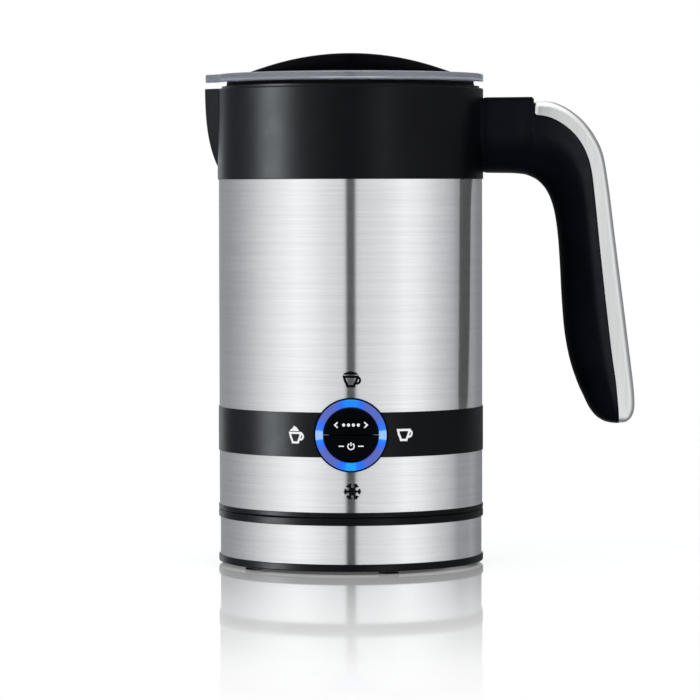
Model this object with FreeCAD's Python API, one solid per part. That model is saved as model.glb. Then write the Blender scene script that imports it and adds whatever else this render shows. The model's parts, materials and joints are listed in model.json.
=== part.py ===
import FreeCAD, Part
import math
import os

from FreeCAD import Vector

# Cordless milk frother: a steel jug with a pouring beak, a handle, a lid and a magnetic whisk,
# which stands on a round power base. Millimetres, +Z up, origin on the jug's axis, on the surface
# that the base stands on. The buttons face -Y, the handle points to +X and the beak to -X.

# ---------------------------------------------------------------- the round body, from outside
SLEEVE_R = 50.1            # outer radius of the jug's steel sleeves
SLEEVE_T = 0.5
RING_PROUD = 0.2           # black rings over the steel
COLLAR_PROUD = 0.3         # collar over the steel
BASE_SLEEVE_INSET = 0.3    # how much smaller the base's steel sleeve is
EDGE_R = 0.6               # rounding of the black rings' edges
FIT = 0.1                  # gap between a sleeve and the wall inside it, and of other snug fits
SCREW_FIT = 0.05           # radial gap round a screw's shank

# ---------------------------------------------------------------- heights, stacked from the floor
PAD_STANDOFF = 1.0         # foot pads below the base's rim
BASE_RIM_H = 2.8
BASE_SLEEVE_H = 14.3
DECK_RIM_H = 2.8
JUG_RIM_H = 2.05
LOWER_SLEEVE_H = 20.4
BAND_H = 16.55
UPPER_SLEEVE_H = 85.8
COLLAR_H = 34.3
LIP_H = 0.8                # raised inner lip of the collar

# ---------------------------------------------------------------- screws
SCREW_R = 1.5
HEAD_R = 2.8
HEAD_H = 1.7
SMALL_SCREW_R = 1.1
SMALL_HEAD_R = 2.1
SMALL_HEAD_H = 1.4
BOSS_R = 3.6
SMALL_BOSS_R = 2.5
THREE_WAYS = (90.0, 210.0, 330.0)
THREE_BETWEEN = (30.0, 150.0, 270.0)

# ---------------------------------------------------------------- base
WALL = 1.8                 # plastic walls that reach into the sleeves
BASE_FLOOR = 2.0
DECK_T = 2.0
DECK_DROP = 1.2            # deck below the rim that the jug stands on
RIM_LAND = 4.3             # flat width of the base's top rim and the jug's bottom rim
RIM_SLOPE = 0.7
DECK_LIP_H = 3.0           # lip of the top cover inside the bottom cover's wall
PAD_COUNT = 5
PAD_R = 3.8
PAD_INSET = 6.0            # pads' circle inside the base's rim
PAD_FIRST_DEG = -71.8      # first pad, from +X
FOOT_RING_CLEAR = 2.7      # between the base screws' heads and the foot ring round them
FOOT_RING_W = 6.0
FOOT_SINK = 0.9            # how deep the foot ring sits in the bottom cover
INLET_BORE_R = 3.6         # for a round mains cord
INLET_BODY_R = 5.0
INLET_FLANGE_R = 6.4
INLET_LENGTH = 7.0
INLET_PROUD = 1.8
INLET_LIP = 0.6
INLET_RISE = 7.2           # inlet's axis over the base sleeve's lower edge

# ---------------------------------------------------------------- cordless coupler
TOWER_R = 15.5
TOWER_H = 11.0             # over the deck
TOWER_WALL = 2.1
GROOVE_W = 2.5
GROOVE_LAND = 3.0
GROOVE_DEPTH = 9.0
CENTRE_HOLE_R = 2.6
CENTRE_PIN_R = 1.4
CONTACT_T = 0.6
CONTACT_GAP = 0.5          # between the base's and the jug's contacts
COUPLER_CLEAR = 0.6        # between the tower and the cup over it
COUPLER_FLANGE_W = 8.0
COUPLER_FLANGE_T = 2.0
CUP_WALL = 2.2
CUP_ROOF = 2.5
CUP_HEADROOM = 1.0
CUP_FLANGE_W = 7.7
GASKET_T = 1.2
GASKET_W = 1.8
TERMINAL_W = 4.0
TERMINAL_T = 0.8
TERMINAL_H = 2.6

# ---------------------------------------------------------------- inside the jug
JUG_FLOOR = 2.0
JUG_FLOOR_RISE = 1.1       # jug's floor over the face that its rim stands on
SKIRT_H = 8.0              # plastic walls inside the sleeves, at the rim and the collar
BAND_SKIRT_H = 3.0
COLLAR_WALL = 2.9
LEDGE_STEP = 0.8           # collar's wall is thicker below the pot's ledge
LEDGE_T = 2.0
LEDGE_LAND = 0.5           # between the pot and the ledge's inner edge
POT_GAP = 3.8              # between the collar's bore and the pot
POT_T = 0.8
POT_FLANGE_GAP = 0.4       # between the collar's bore and the pot's flange
POT_CORNER_R = 6.8
POT_RISE = 20.1            # pot's bottom over the control band
POT_RIM_DROP = 10.0        # pot's rim below the collar's top
CHASSIS_DROP = 16.0        # chassis below the pot
CHASSIS_T = 2.0
CHASSIS_RIM_H = 3.0
CHASSIS_GAP = 3.8          # between the chassis and the sleeve
POST_INSET = 8.4           # screw posts' circle inside the sleeve
POST_R = 3.4
FLOOR_SCREW_LENGTH = 12.0
STUD_INSET = 8.8           # pot studs' circle inside the pot's wall
STUD_R = 1.5
STUD_POST_R = 2.8
STUD_WAYS = (0.0, 120.0, 240.0)
NUT_FLATS = 5.5
NUT_H = 2.4
VENT_R = 5.0
VENT_CIRCLE = 28.0

# ---------------------------------------------------------------- heater
HEATER_R = 25.6            # centre line of the heating tube
HEATER_TUBE_R = 3.2
HEATER_PLATE_T = 3.0
HEATER_PLATE_OVER = 6.0    # plate's edges beyond the centre line, outwards
HEATER_PLATE_UNDER = 7.4   # and inwards
HEATER_SWEEP = 300.0
HEATER_SINK = 1.6          # how deep the tube lies in its plate
HEATER_PIN_R = 1.2
HEATER_PIN_LENGTH = 5.0
CUTOUT_R = 6.5
CUTOUT_H = 6.5
SENSOR_R = 2.0
SENSOR_H = 5.0
SENSOR_CIRCLE = 20.3
SENSOR_DEG = 315.0

# ---------------------------------------------------------------- motor and magnetic drive
MOTOR_R = 13.9
MOTOR_H = 25.0
MOTOR_WALL = 1.0
MOTOR_CAP_H = 2.4
MOTOR_NECK_R = 3.6
MOTOR_NECK_H = 1.8
BEARING_R = 2.6
SHAFT_R = 1.0
SHAFT_FIT = 0.05
MOTOR_SCREW_CIRCLE = 8.0
MOTOR_SCREW_R = 1.25
FIELD_T = 2.35
AIR_GAP = 0.6
ROTOR_R = 15.0
ROTOR_H = 9.3
ROTOR_HUB_R = 4.0
ROTOR_HUB_H = 3.0
ROTOR_GAP = 1.7            # between the rotor and the pot's bottom
MAGNET_R = 4.6
MAGNET_H = 4.0
MAGNET_CIRCLE = 8.8
FOUR_WAYS = (0.0, 90.0, 180.0, 270.0)

# ---------------------------------------------------------------- power board
BOARD_T = 1.6
BOARD_Y = 31.0
BOARD_HALF_W = 24.0
BOARD_RAISE = 3.0
BOARD_TOP_GAP = 4.0        # below the chassis
RAIL_H = 8.0

# ---------------------------------------------------------------- control disc
BEZEL_R = 13.6
BEZEL_GAP = 0.15
BEZEL_WALL = 0.5
POCKET_WALL = 2.0
GLOW_W = 2.75
GLOW_DEPTH = 3.2           # behind the band's surface
GLOW_SEAT = 1.4
BUTTON_GAP = 0.2
BUTTON_FLANGE = 1.0
BUTTON_FLANGE_T = 1.2
BUTTON_SPLIT = 0.35        # slot between the two half-round buttons
BUTTON_TRAVEL = 0.6
BUTTON_FREE = 0.8          # room behind the flange beyond its travel
BEZEL_FLOOR = 1.5
BEZEL_PROUD = 0.7          # each front face over the band
GLOW_PROUD = 1.0
BUTTON_PROUD = 1.15
STEM_HALF = 1.6
STEM_Z = 5.0
STEM_GAP = 0.25
SWITCH_HALF = 3.0
SWITCH_H = 3.0
PLUNGER_R = 1.5
PLUNGER_OUT = 0.8
PLUNGER_IN = 1.2
LED_INSET = 0.55           # lamps' middle inside the light ring's inner edge
LED_HALF = 1.5
LED_T = 1.9
EYELET_OUT = 3.75          # control board's screws beyond the bezel's pocket
EYELET_HALF = 4.0
EYELET_DEPTH = 4.0
CONTROL_BOARD_MARGIN = 4.5 # board's edge beyond its screws
CONTROL_BOARD_DROP = 15.5  # board's lower edge below the buttons' centre

# ---------------------------------------------------------------- beak
BEAK_REACH = 4.8           # beak's tip over the collar, at the top
BEAK_SPREAD = 1.25         # half width for each mm of reach
BEAK_WALL = 2.0
BEAK_FOOT = 3.0            # beak's lower end over the collar's lower edge
BEAK_TIP_R = 1.6
BEAK_ROOT = 4.5            # how far the beak's wedge starts inside the collar's surface
# share of the beak's height from the top, and share of its reach there
BEAK_SHAPE = ((0.0, 1.0), (0.2, 0.975), (0.38, 0.9), (0.56, 0.755), (0.72, 0.53), (0.86, 0.24), (0.97, -0.1))
BEAK_CHANNEL_LIFT = 4.0    # the channel is the same wedge, smaller and higher
BEAK_CHANNEL_SHARE = 0.6

# ---------------------------------------------------------------- handle
HANDLE_ROOT_HALF_W = 12.0
HANDLE_TIP_HALF_W = 11.0
HANDLE_TAPER = 1.5         # outer face narrower than the widest place, each side
HANDLE_EDGE_R = 3.2
HANDLE_WALL = 2.6
TRIM_T = 1.2
TRIM_GAP = 0.1
ARM_STEP = 0.95            # arm's top over the trim's
ARM_LENGTH = 18.85         # from the collar to the step
ARM_DEPTH = 9.0
ARM_SOLID = 13.0           # the arm is solid this far from the collar
HANDLE_SCREW_R = 1.8
HANDLE_HEAD_R = 2.6
HANDLE_HEAD_H = 1.5
HANDLE_SCREW_CLEAR = 0.4   # between the upper head and the collar's ledge over it
HANDLE_SCREW_SPREAD = 0.4  # share of the spare height that lies between the two heads
HANDLE_SCREW_GRIP = 9.5    # how far the screws reach past the collar
# The grip in side view: pairs of points on its inner and outer edges, each as distance out from
# the collar and drop below the collar's top.
HANDLE_STATIONS = (
    ((-4.5, 31.8), (-4.5, 4.5)),
    ((4.0, 32.0), (4.0, 4.4)),
    ((10.9, 32.1), (12.9, 4.4)),
    ((15.6, 32.4), (20.9, 4.7)),
    ((18.8, 33.6), (27.2, 6.0)),
    ((21.4, 35.4), (33.55, 9.2)),
    ((23.75, 38.0), (38.85, 13.9)),
    ((25.5, 41.7), (42.8, 19.8)),
    ((26.95, 47.0), (45.7, 27.4)),
    ((28.35, 55.8), (47.9, 40.5)),
    ((29.1, 67.5), (49.7, 54.0)),
    ((29.6, 79.5), (51.2, 67.5)),
    ((30.8, 92.0), (53.2, 82.5)),
    ((32.8, 103.0), (55.0, 97.0)),
    ((35.9, 112.4), (56.5, 109.5)),
)
GRIP_END_TOP = ((39.2, 119.0), (57.2, 117.8))    # where the rounded lower end starts
GRIP_END = (50.8, 127.4)
GRIP_END_STEPS_DEG = (0.0, 28.0, 50.0, 68.0, 81.0)
# seam between the grip and its metal trim, from the arm's step to the lower end
SEAM = (
    (18.85, 10.1), (23.6, 11.0), (28.5, 13.4), (32.7, 17.2), (35.6, 22.8), (37.7, 29.2), (39.3, 35.5),
    (41.0, 48.0), (43.15, 64.0), (45.65, 81.5), (47.8, 98.5), (49.6, 111.5), (50.9, 124.0), (51.2, 134.0),
)

# ---------------------------------------------------------------- lid
LID_OVERHANG = 0.1         # lid's plate over the collar
LID_T = 3.1
LID_GAP = 1.5              # between the collar's lip and the plate
LID_EDGE_R = 0.5
LID_NOSE_REACH = 4.4       # tongue over the beak
LID_NOSE_SPREAD = 1.9
SKIRT_GAP = 0.8            # between the collar's bore and the lid's skirt
SKIRT_T = 1.8
LID_SKIRT_H = 9.0
SEAL_H = 4.6
SEAL_OUT = 0.35            # seal's bulge over the skirt
SEAL_GROOVE = 0.7
GRIP_HALF_L = 41.0
GRIP_HALF_W = 13.0
GRIP_H = 8.0
GRIP_ARC_R = 107.7
GRIP_SEAT = 1.4            # grip's flange, sunk in the plate
GRIP_FLANGE_INSET = 1.1
GRIP_SCREW_X = 16.0
GRIP_SCREW_GRIP = 2.5

# ---------------------------------------------------------------- whisk
PIN_R = 1.6
PIN_H = 11.2
PIN_FOOT_R = 4.5
PIN_FOOT_H = 0.7
PIN_CLEAR = 0.15
BUSH_T = 0.85
BUSH_CLEAR = 0.05
WHISK_GAP = 1.5            # hub over the pot's floor
HUB_R = 10.4
HUB_H = 5.6
HUB_NECK_R = 4.2
HUB_CAP = 1.6
COIL_R = 2.6               # outer radius of the coiled wire's tube
COIL_CLEAR = 0.1
COIL_OUT = 1.4             # coil's centre line over the hub's rim
WHISK_MAGNET_R = 2.2
WHISK_MAGNET_H = 2.6
WHISK_MAGNET_CIRCLE = 6.0

# ---------------------------------------------------------------- worked-out places
RING_R = SLEEVE_R + RING_PROUD
COLLAR_R = SLEEVE_R + COLLAR_PROUD
SLEEVE_IN = SLEEVE_R - SLEEVE_T
BASE_SLEEVE_R = SLEEVE_R - BASE_SLEEVE_INSET
BASE_SLEEVE_IN = BASE_SLEEVE_R - SLEEVE_T
BASE_WALL_OUT = BASE_SLEEVE_IN - FIT
BASE_WALL_IN = BASE_WALL_OUT - WALL
SKIRT_OUT = SLEEVE_IN - FIT
COLLAR_IN = COLLAR_R - COLLAR_WALL
BEAK_H = COLLAR_H - BEAK_FOOT

Z_RIM = PAD_STANDOFF
Z_BASE_SLEEVE = Z_RIM + BASE_RIM_H
Z_DECK_RIM = Z_BASE_SLEEVE + BASE_SLEEVE_H
Z_SPLIT = Z_DECK_RIM + DECK_RIM_H
Z_LOWER = Z_SPLIT + JUG_RIM_H
Z_BAND = Z_LOWER + LOWER_SLEEVE_H
Z_UPPER = Z_BAND + BAND_H
Z_COLLAR = Z_UPPER + UPPER_SLEEVE_H
Z_TOP = Z_COLLAR + COLLAR_H
Z_LIP = Z_TOP + LIP_H
Z_BUTTONS = (Z_BAND + Z_UPPER) / 2

Z_BASE_FLOOR = Z_RIM + BASE_FLOOR
Z_DECK = Z_SPLIT - DECK_DROP
Z_DECK_UNDER = Z_DECK - DECK_T
Z_BOSS = (Z_BASE_FLOOR + Z_DECK_UNDER) / 2 + 1.7
Z_INLET = Z_BASE_SLEEVE + INLET_RISE
Z_TOWER = Z_DECK + TOWER_H
Z_GROOVE = Z_TOWER - GROOVE_DEPTH
Z_FLOOR = Z_SPLIT + JUG_FLOOR_RISE
Z_FLOOR_TOP = Z_FLOOR + JUG_FLOOR
Z_GASKET_TOP = Z_FLOOR_TOP + GASKET_T
Z_CUP_ROOF = Z_TOWER + CUP_HEADROOM
Z_POT = Z_UPPER + POT_RISE
Z_POT_FLOOR = Z_POT + POT_T
Z_POT_RIM = Z_TOP - POT_RIM_DROP
Z_LEDGE = Z_POT_RIM - POT_T - GASKET_T
Z_CHASSIS = Z_POT - CHASSIS_DROP
Z_HEATER = Z_POT - HEATER_PLATE_T
Z_ROTOR_TOP = Z_POT - ROTOR_GAP
Z_PLATE = Z_LIP + LID_GAP
Z_PLATE_TOP = Z_PLATE + LID_T
Z_HUB = Z_POT_FLOOR + WHISK_GAP

CUP_IN = TOWER_R + COUPLER_CLEAR
CUP_OUT = CUP_IN + CUP_WALL
COUPLER_FLANGE_R = TOWER_R + COUPLER_FLANGE_W
COUPLER_SCREW_CIRCLE = COUPLER_FLANGE_R - HEAD_R - 0.2
BASE_SCREW_CIRCLE = COUPLER_FLANGE_R + 3.0
CUP_FLANGE_R = CUP_OUT + CUP_FLANGE_W
CUP_SCREW_CIRCLE = CUP_FLANGE_R - SMALL_HEAD_R - 0.5
OUTER_GROOVE = TOWER_R - TOWER_WALL - GROOVE_W
INNER_GROOVE = OUTER_GROOVE - GROOVE_LAND - GROOVE_W
POST_CIRCLE = SLEEVE_IN - POST_INSET
POT_R = COLLAR_IN - POT_GAP
POT_IN = POT_R - POT_T
POT_FLANGE_R = COLLAR_IN - POT_FLANGE_GAP
STUD_CIRCLE = POT_R - STUD_INSET
CHASSIS_R = SLEEVE_IN - CHASSIS_GAP
COLLAR_LOW_IN = COLLAR_IN - LEDGE_STEP
LEDGE_IN = POT_R + LEDGE_LAND
Z_LEDGE_UNDER = Z_LEDGE - LEDGE_T - (COLLAR_LOW_IN - LEDGE_IN)
Z_UPPER_SCREW = Z_LEDGE_UNDER - HANDLE_SCREW_CLEAR - HANDLE_HEAD_R
SCREW_SPARE = Z_UPPER_SCREW - Z_COLLAR - 3 * HANDLE_HEAD_R
Z_LOWER_SCREW = Z_UPPER_SCREW - 2 * HANDLE_HEAD_R - SCREW_SPARE * HANDLE_SCREW_SPREAD
Z_HANDLE_SCREWS = (Z_LOWER_SCREW, Z_UPPER_SCREW)
PAD_CIRCLE = RING_R - PAD_INSET
FOOT_RING_IN = BASE_SCREW_CIRCLE + HEAD_R + FOOT_RING_CLEAR
FOOT_RING_OUT = FOOT_RING_IN + FOOT_RING_W
LID_R = COLLAR_R + LID_OVERHANG
LID_SKIRT_R = COLLAR_IN - SKIRT_GAP
BUSH_IN = PIN_R + PIN_CLEAR
BUSH_R = BUSH_IN + BUSH_T

BAND_FRONT = -RING_R
Y_GLOW_BACK = BAND_FRONT + GLOW_DEPTH
Y_FLANGE = Y_GLOW_BACK + FIT
Y_BEZEL_FLOOR = Y_FLANGE + BUTTON_FLANGE_T + BUTTON_TRAVEL + BUTTON_FREE
Y_BEZEL_BACK = Y_BEZEL_FLOOR + BEZEL_FLOOR
Y_STEM = Y_BEZEL_BACK + BUTTON_TRAVEL
Y_SWITCH = Y_STEM + PLUNGER_OUT
Y_BOARD = Y_SWITCH + SWITCH_H
Y_BOARD_BACK = Y_BOARD + BOARD_T
POCKET_R = BEZEL_R + BEZEL_GAP + POCKET_WALL
GLOW_OUT_R = BEZEL_R - BEZEL_WALL
GLOW_IN_R = GLOW_OUT_R - GLOW_W
BUTTON_R = GLOW_IN_R - BUTTON_GAP
LED_CIRCLE = GLOW_IN_R - LED_INSET
EYELET_X = POCKET_R + EYELET_OUT
CONTROL_BOARD_HALF_W = EYELET_X + CONTROL_BOARD_MARGIN

FULL_TURN = 360.0
SEAM_TURN = 60.0           # turned solids start away from every hole
FAR = 400.0
LAP = 0.5                  # how deep joined pieces of one solid run into each other
SLANT = math.sqrt(0.5)


# ---------------------------------------------------------------- small helpers
def in_side_view(x, z):
    return Vector(x, 0, z)


def in_plan(x, y):
    return Vector(x, y, 0)


def outline(corners, place=in_side_view):
    """A closed wire through corners of two coordinates, each with a rounding radius if it has one."""
    points = [place(c[0], c[1]) for c in corners]
    ends = []
    for i, here in enumerate(points):
        radius = corners[i][2] if len(corners[i]) > 2 else 0.0
        if radius <= 0.0:
            ends.append((here, here, None))
            continue
        before = (points[i - 1] - here).normalize()
        after = (points[(i + 1) % len(points)] - here).normalize()
        half = before.getAngle(after) / 2
        reach = radius / math.tan(half)
        bisector = (before + after).normalize()
        middle = here + bisector * (radius / math.sin(half) - radius)
        ends.append((here + before * reach, here + after * reach, middle))
    edges = []
    for i, (start, end, middle) in enumerate(ends):
        if middle is not None:
            edges.append(Part.Arc(start, middle, end).toShape())
        following = ends[(i + 1) % len(ends)][0]
        if end.distanceToPoint(following) > 1e-6:
            edges.append(Part.LineSegment(end, following).toShape())
    return Part.Wire(edges)


def placed(shape, degrees):
    """A copy turned about the Z axis."""
    copy = shape.copy()
    copy.rotate(Vector(0, 0, 0), Vector(0, 0, 1), degrees)
    return copy


def round_about(shape, angles):
    return [placed(shape, a) for a in angles]


def turned(corners):
    """The solid that an outline of (radius, z) corners sweeps about the Z axis."""
    solid = Part.Face(outline(corners)).revolve(Vector(0, 0, 0), Vector(0, 0, 1), FULL_TURN)
    return placed(solid, SEAM_TURN)


def cylinder(radius, low, high, x=0.0, y=0.0):
    return Part.makeCylinder(radius, high - low, Vector(x, y, low))


def tube(outer, inner, low, high):
    return cylinder(outer, low, high).cut(cylinder(inner, low - 1, high + 1))


def across(radius, near, far, x=0.0, z=0.0):
    """A cylinder along Y, from near to far."""
    return Part.makeCylinder(radius, far - near, Vector(x, near, z), Vector(0, 1, 0))


def along_x(radius, near, far, z):
    return Part.makeCylinder(radius, far - near, Vector(near, 0, z), Vector(1, 0, 0))


def block(x0, x1, y0, y1, z0, z1):
    return Part.makeBox(x1 - x0, y1 - y0, z1 - z0, Vector(x0, y0, z0))


def joined(shapes):
    return shapes[0].fuse(shapes[1:]).removeSplitter()


def without(shape, tools):
    return shape.cut(tools).removeSplitter()


def pan_screw(x, seat, length, radius, head_r, head_h, way=1):
    """A screw at (x, 0) whose head bears on z = seat; its shank goes up, or down for way -1."""
    shank = Part.makeCylinder(radius, length, Vector(x, 0, seat), Vector(0, 0, way))
    head = Part.makeCylinder(head_r, head_h, Vector(x, 0, seat), Vector(0, 0, -way))
    top = seat - way * head_h
    rim = [e for e in head.Edges if len(e.Vertexes) == 1 and abs(e.CenterOfMass.z - top) < 0.01]
    head = head.makeFillet(head_h * 0.4, rim)
    socket = Part.makeCylinder(radius * 0.9, head_h * 0.5, Vector(x, 0, top), Vector(0, 0, way))
    return shank.fuse(head).cut(socket).removeSplitter()


def small_screw(x, seat, length, way=1):
    return pan_screw(x, seat, length, SMALL_SCREW_R, SMALL_HEAD_R, SMALL_HEAD_H, way)


PARTS = {}


def keep(name, *shapes):
    """Keeps one named node, of one or more separate solids."""
    solids = [solid for shape in shapes for solid in shape.Solids]
    PARTS[name] = solids[0] if len(solids) == 1 else Part.makeCompound(solids)


# ---------------------------------------------------------------- power base
def foot_plan(grow, low, high):
    """A ring with round pads on short arms, grown all round by a clearance."""
    pieces = [tube(FOOT_RING_OUT + grow, FOOT_RING_IN - grow, low, high)]
    arm_half = PAD_R * 0.6 + grow
    arm = block(FOOT_RING_OUT - FOOT_RING_W / 2, PAD_CIRCLE, -arm_half, arm_half, low, high)
    pad = cylinder(PAD_R + grow, low, high, PAD_CIRCLE)
    for i in range(PAD_COUNT):
        turn = PAD_FIRST_DEG + i * FULL_TURN / PAD_COUNT
        pieces += [placed(arm, turn), placed(pad, turn)]
    return joined(pieces)


def inlet_hole():
    return across(INLET_BODY_R + FIT, BASE_WALL_IN - 3, RING_R + 5, z=Z_INLET)


def make_base_bottom():
    dish = turned([
        (0, Z_RIM), (RING_R, Z_RIM, EDGE_R), (RING_R, Z_BASE_SLEEVE, EDGE_R / 2),
        (BASE_WALL_OUT, Z_BASE_SLEEVE), (BASE_WALL_OUT, Z_DECK_UNDER - FIT),
        (BASE_WALL_IN, Z_DECK_UNDER - FIT), (BASE_WALL_IN, Z_BASE_FLOOR, 1.0), (0, Z_BASE_FLOOR),
    ])
    bosses = round_about(cylinder(BOSS_R, Z_BASE_FLOOR - LAP, Z_BOSS, BASE_SCREW_CIRCLE), THREE_WAYS)
    seat = Z_RIM + HEAD_H + 0.3
    holes = round_about(cylinder(SCREW_R + SCREW_FIT, 0, Z_BOSS + 1, BASE_SCREW_CIRCLE), THREE_WAYS)
    holes += round_about(cylinder(HEAD_R + 0.2, 0, seat, BASE_SCREW_CIRCLE), THREE_WAYS)
    foot_recess = foot_plan(FIT, 0, Z_RIM + FOOT_SINK)
    keep("base_bottom_cover", without(joined([dish] + bosses), holes + [foot_recess, inlet_hole()]))
    keep("foot_ring", foot_plan(0, 0, Z_RIM + FOOT_SINK))
    keep("base_sleeve", tube(BASE_SLEEVE_R, BASE_SLEEVE_IN, Z_BASE_SLEEVE, Z_DECK_RIM).cut(inlet_hole()))
    long_screw = pan_screw(BASE_SCREW_CIRCLE, seat, Z_DECK_UNDER - 0.6 - seat, SCREW_R, HEAD_R, HEAD_H)
    keep("base_screws", *round_about(long_screw, THREE_WAYS))


def make_base_top():
    lip_out = BASE_WALL_IN - FIT
    lip_in = lip_out - WALL
    bore = TOWER_R + 0.3
    top = turned([
        (bore, Z_DECK_UNDER), (lip_in, Z_DECK_UNDER), (lip_in, Z_DECK_UNDER - DECK_LIP_H),
        (lip_out, Z_DECK_UNDER - DECK_LIP_H), (lip_out, Z_DECK_UNDER), (BASE_WALL_OUT, Z_DECK_UNDER),
        (BASE_WALL_OUT, Z_DECK_RIM), (RING_R, Z_DECK_RIM, EDGE_R / 2), (RING_R, Z_SPLIT, EDGE_R),
        (RING_R - RIM_LAND, Z_SPLIT, 0.4), (RING_R - RIM_LAND - RIM_SLOPE, Z_DECK, 0.4), (bore, Z_DECK),
    ])
    posts = round_about(cylinder(BOSS_R, Z_BOSS, Z_DECK_UNDER + LAP, BASE_SCREW_CIRCLE), THREE_WAYS)
    post_pilot = cylinder(SCREW_R + SCREW_FIT, Z_BOSS - 1, Z_DECK_UNDER, BASE_SCREW_CIRCLE)
    flange_pilot = cylinder(SMALL_SCREW_R + SCREW_FIT, Z_DECK_UNDER - 1, Z_DECK - 0.4, COUPLER_SCREW_CIRCLE)
    pilots = round_about(post_pilot, THREE_WAYS) + round_about(flange_pilot, THREE_BETWEEN)
    notch = across(INLET_BODY_R + INLET_LIP + 0.2, lip_in - 5, lip_out + 1, z=Z_INLET)
    keep("base_top_cover", without(joined([top] + posts), pilots + [notch]))


def make_base_coupler():
    under = Z_DECK_UNDER - COUPLER_FLANGE_T
    tower = turned([
        (0, under), (COUPLER_FLANGE_R, under), (COUPLER_FLANGE_R, Z_DECK_UNDER), (TOWER_R, Z_DECK_UNDER),
        (TOWER_R, Z_TOWER, 0.8), (0, Z_TOWER),
    ])
    screw_hole = cylinder(SMALL_SCREW_R + SCREW_FIT, under - 1, Z_DECK_UNDER + 1, COUPLER_SCREW_CIRCLE)
    post_notch = cylinder(BOSS_R + 0.3, under - 1, Z_DECK_UNDER + 1, BASE_SCREW_CIRCLE)
    cuts = [tube(inner + GROOVE_W, inner, Z_GROOVE, Z_TOWER + 1) for inner in (INNER_GROOVE, OUTER_GROOVE)]
    cuts += [cylinder(CENTRE_HOLE_R, Z_GROOVE, Z_TOWER + 1)]
    cuts += round_about(screw_hole, THREE_BETWEEN) + round_about(post_notch, THREE_WAYS)
    keep("base_coupler", without(tower, cuts))

    high = Z_TOWER - 1.5
    lining = CENTRE_HOLE_R - SCREW_FIT
    contacts = [tube(lining, lining - CONTACT_T, Z_GROOVE, high)]
    for inner in (INNER_GROOVE, OUTER_GROOVE):
        contacts.append(tube(inner + SCREW_FIT + CONTACT_T, inner + SCREW_FIT, Z_GROOVE, high))
    keep("base_contacts", *contacts)
    screw = small_screw(COUPLER_SCREW_CIRCLE, under, COUPLER_FLANGE_T + DECK_T - 0.6)
    keep("base_coupler_screws", *round_about(screw, THREE_BETWEEN))


def make_cord_inlet():
    y_out = BASE_SLEEVE_R + INLET_PROUD
    y_in = y_out - INLET_LENGTH
    lip_r = INLET_BODY_R + INLET_LIP
    lip_end = math.sqrt(BASE_WALL_IN ** 2 - lip_r ** 2) - FIT
    body = across(INLET_BODY_R, y_in, y_out, z=Z_INLET)
    flange = across(INLET_FLANGE_R, BASE_SLEEVE_R - 2, y_out, z=Z_INLET)
    flange = flange.cut(cylinder(BASE_SLEEVE_R, 0, Z_SPLIT))
    lip = across(lip_r, y_in, lip_end, z=Z_INLET)
    bore = across(INLET_BORE_R, y_in - 1, y_out + 1, z=Z_INLET)
    keep("cord_inlet_bush", without(joined([body, flange, lip]), [bore]))


# ---------------------------------------------------------------- jug: floor and coupler
def board_rail(side):
    """A slotted rail that holds one edge of the power board."""
    low, high = Z_FLOOR_TOP - LAP, Z_FLOOR_TOP + RAIL_H
    edge = side * BOARD_HALF_W
    rail = block(min(edge - side * 4, edge + side * 2), max(edge - side * 4, edge + side * 2),
                 BOARD_Y - 2, BOARD_Y + BOARD_T + 2, low, high)
    slot = block(min(edge - side * 5, edge + side * FIT), max(edge - side * 5, edge + side * FIT),
                 BOARD_Y - FIT, BOARD_Y + BOARD_T + FIT, Z_FLOOR_TOP + BOARD_RAISE, high + 1)
    return rail.cut(slot)


def make_jug_floor():
    bore = CUP_OUT + 0.2
    skirt_in = SKIRT_OUT - WALL
    floor = turned([
        (bore, Z_FLOOR), (RING_R - RIM_LAND - RIM_SLOPE, Z_FLOOR, 0.4), (RING_R - RIM_LAND, Z_SPLIT, 0.4),
        (RING_R, Z_SPLIT, EDGE_R), (RING_R, Z_LOWER, EDGE_R / 2), (SKIRT_OUT, Z_LOWER),
        (SKIRT_OUT, Z_LOWER + SKIRT_H, 0.4), (skirt_in, Z_LOWER + SKIRT_H, 0.4), (skirt_in, Z_FLOOR_TOP),
        (bore, Z_FLOOR_TOP),
    ])
    boss = cylinder(SMALL_BOSS_R, Z_FLOOR_TOP - LAP, Z_GASKET_TOP, CUP_SCREW_CIRCLE)
    bosses = round_about(boss, THREE_BETWEEN)
    pilot = cylinder(SMALL_SCREW_R + SCREW_FIT, Z_FLOOR + LAP, Z_GASKET_TOP + 1, CUP_SCREW_CIRCLE)
    hole = cylinder(SCREW_R + SCREW_FIT, Z_FLOOR - 1, Z_FLOOR_TOP + 1, POST_CIRCLE)
    holes = round_about(pilot, THREE_BETWEEN) + round_about(hole, THREE_WAYS)
    rails = [board_rail(side) for side in (-1, 1)]
    keep("jug_bottom_cover", without(joined([floor] + bosses + rails), holes))
    screw = pan_screw(POST_CIRCLE, Z_FLOOR, FLOOR_SCREW_LENGTH, SCREW_R, HEAD_R, HEAD_H * 0.8)
    keep("jug_floor_screws", *round_about(screw, THREE_WAYS))
    keep("coupler_gasket", tube(CUP_OUT + 0.3 + GASKET_W, CUP_OUT + 0.3, Z_FLOOR_TOP, Z_GASKET_TOP))


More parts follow.
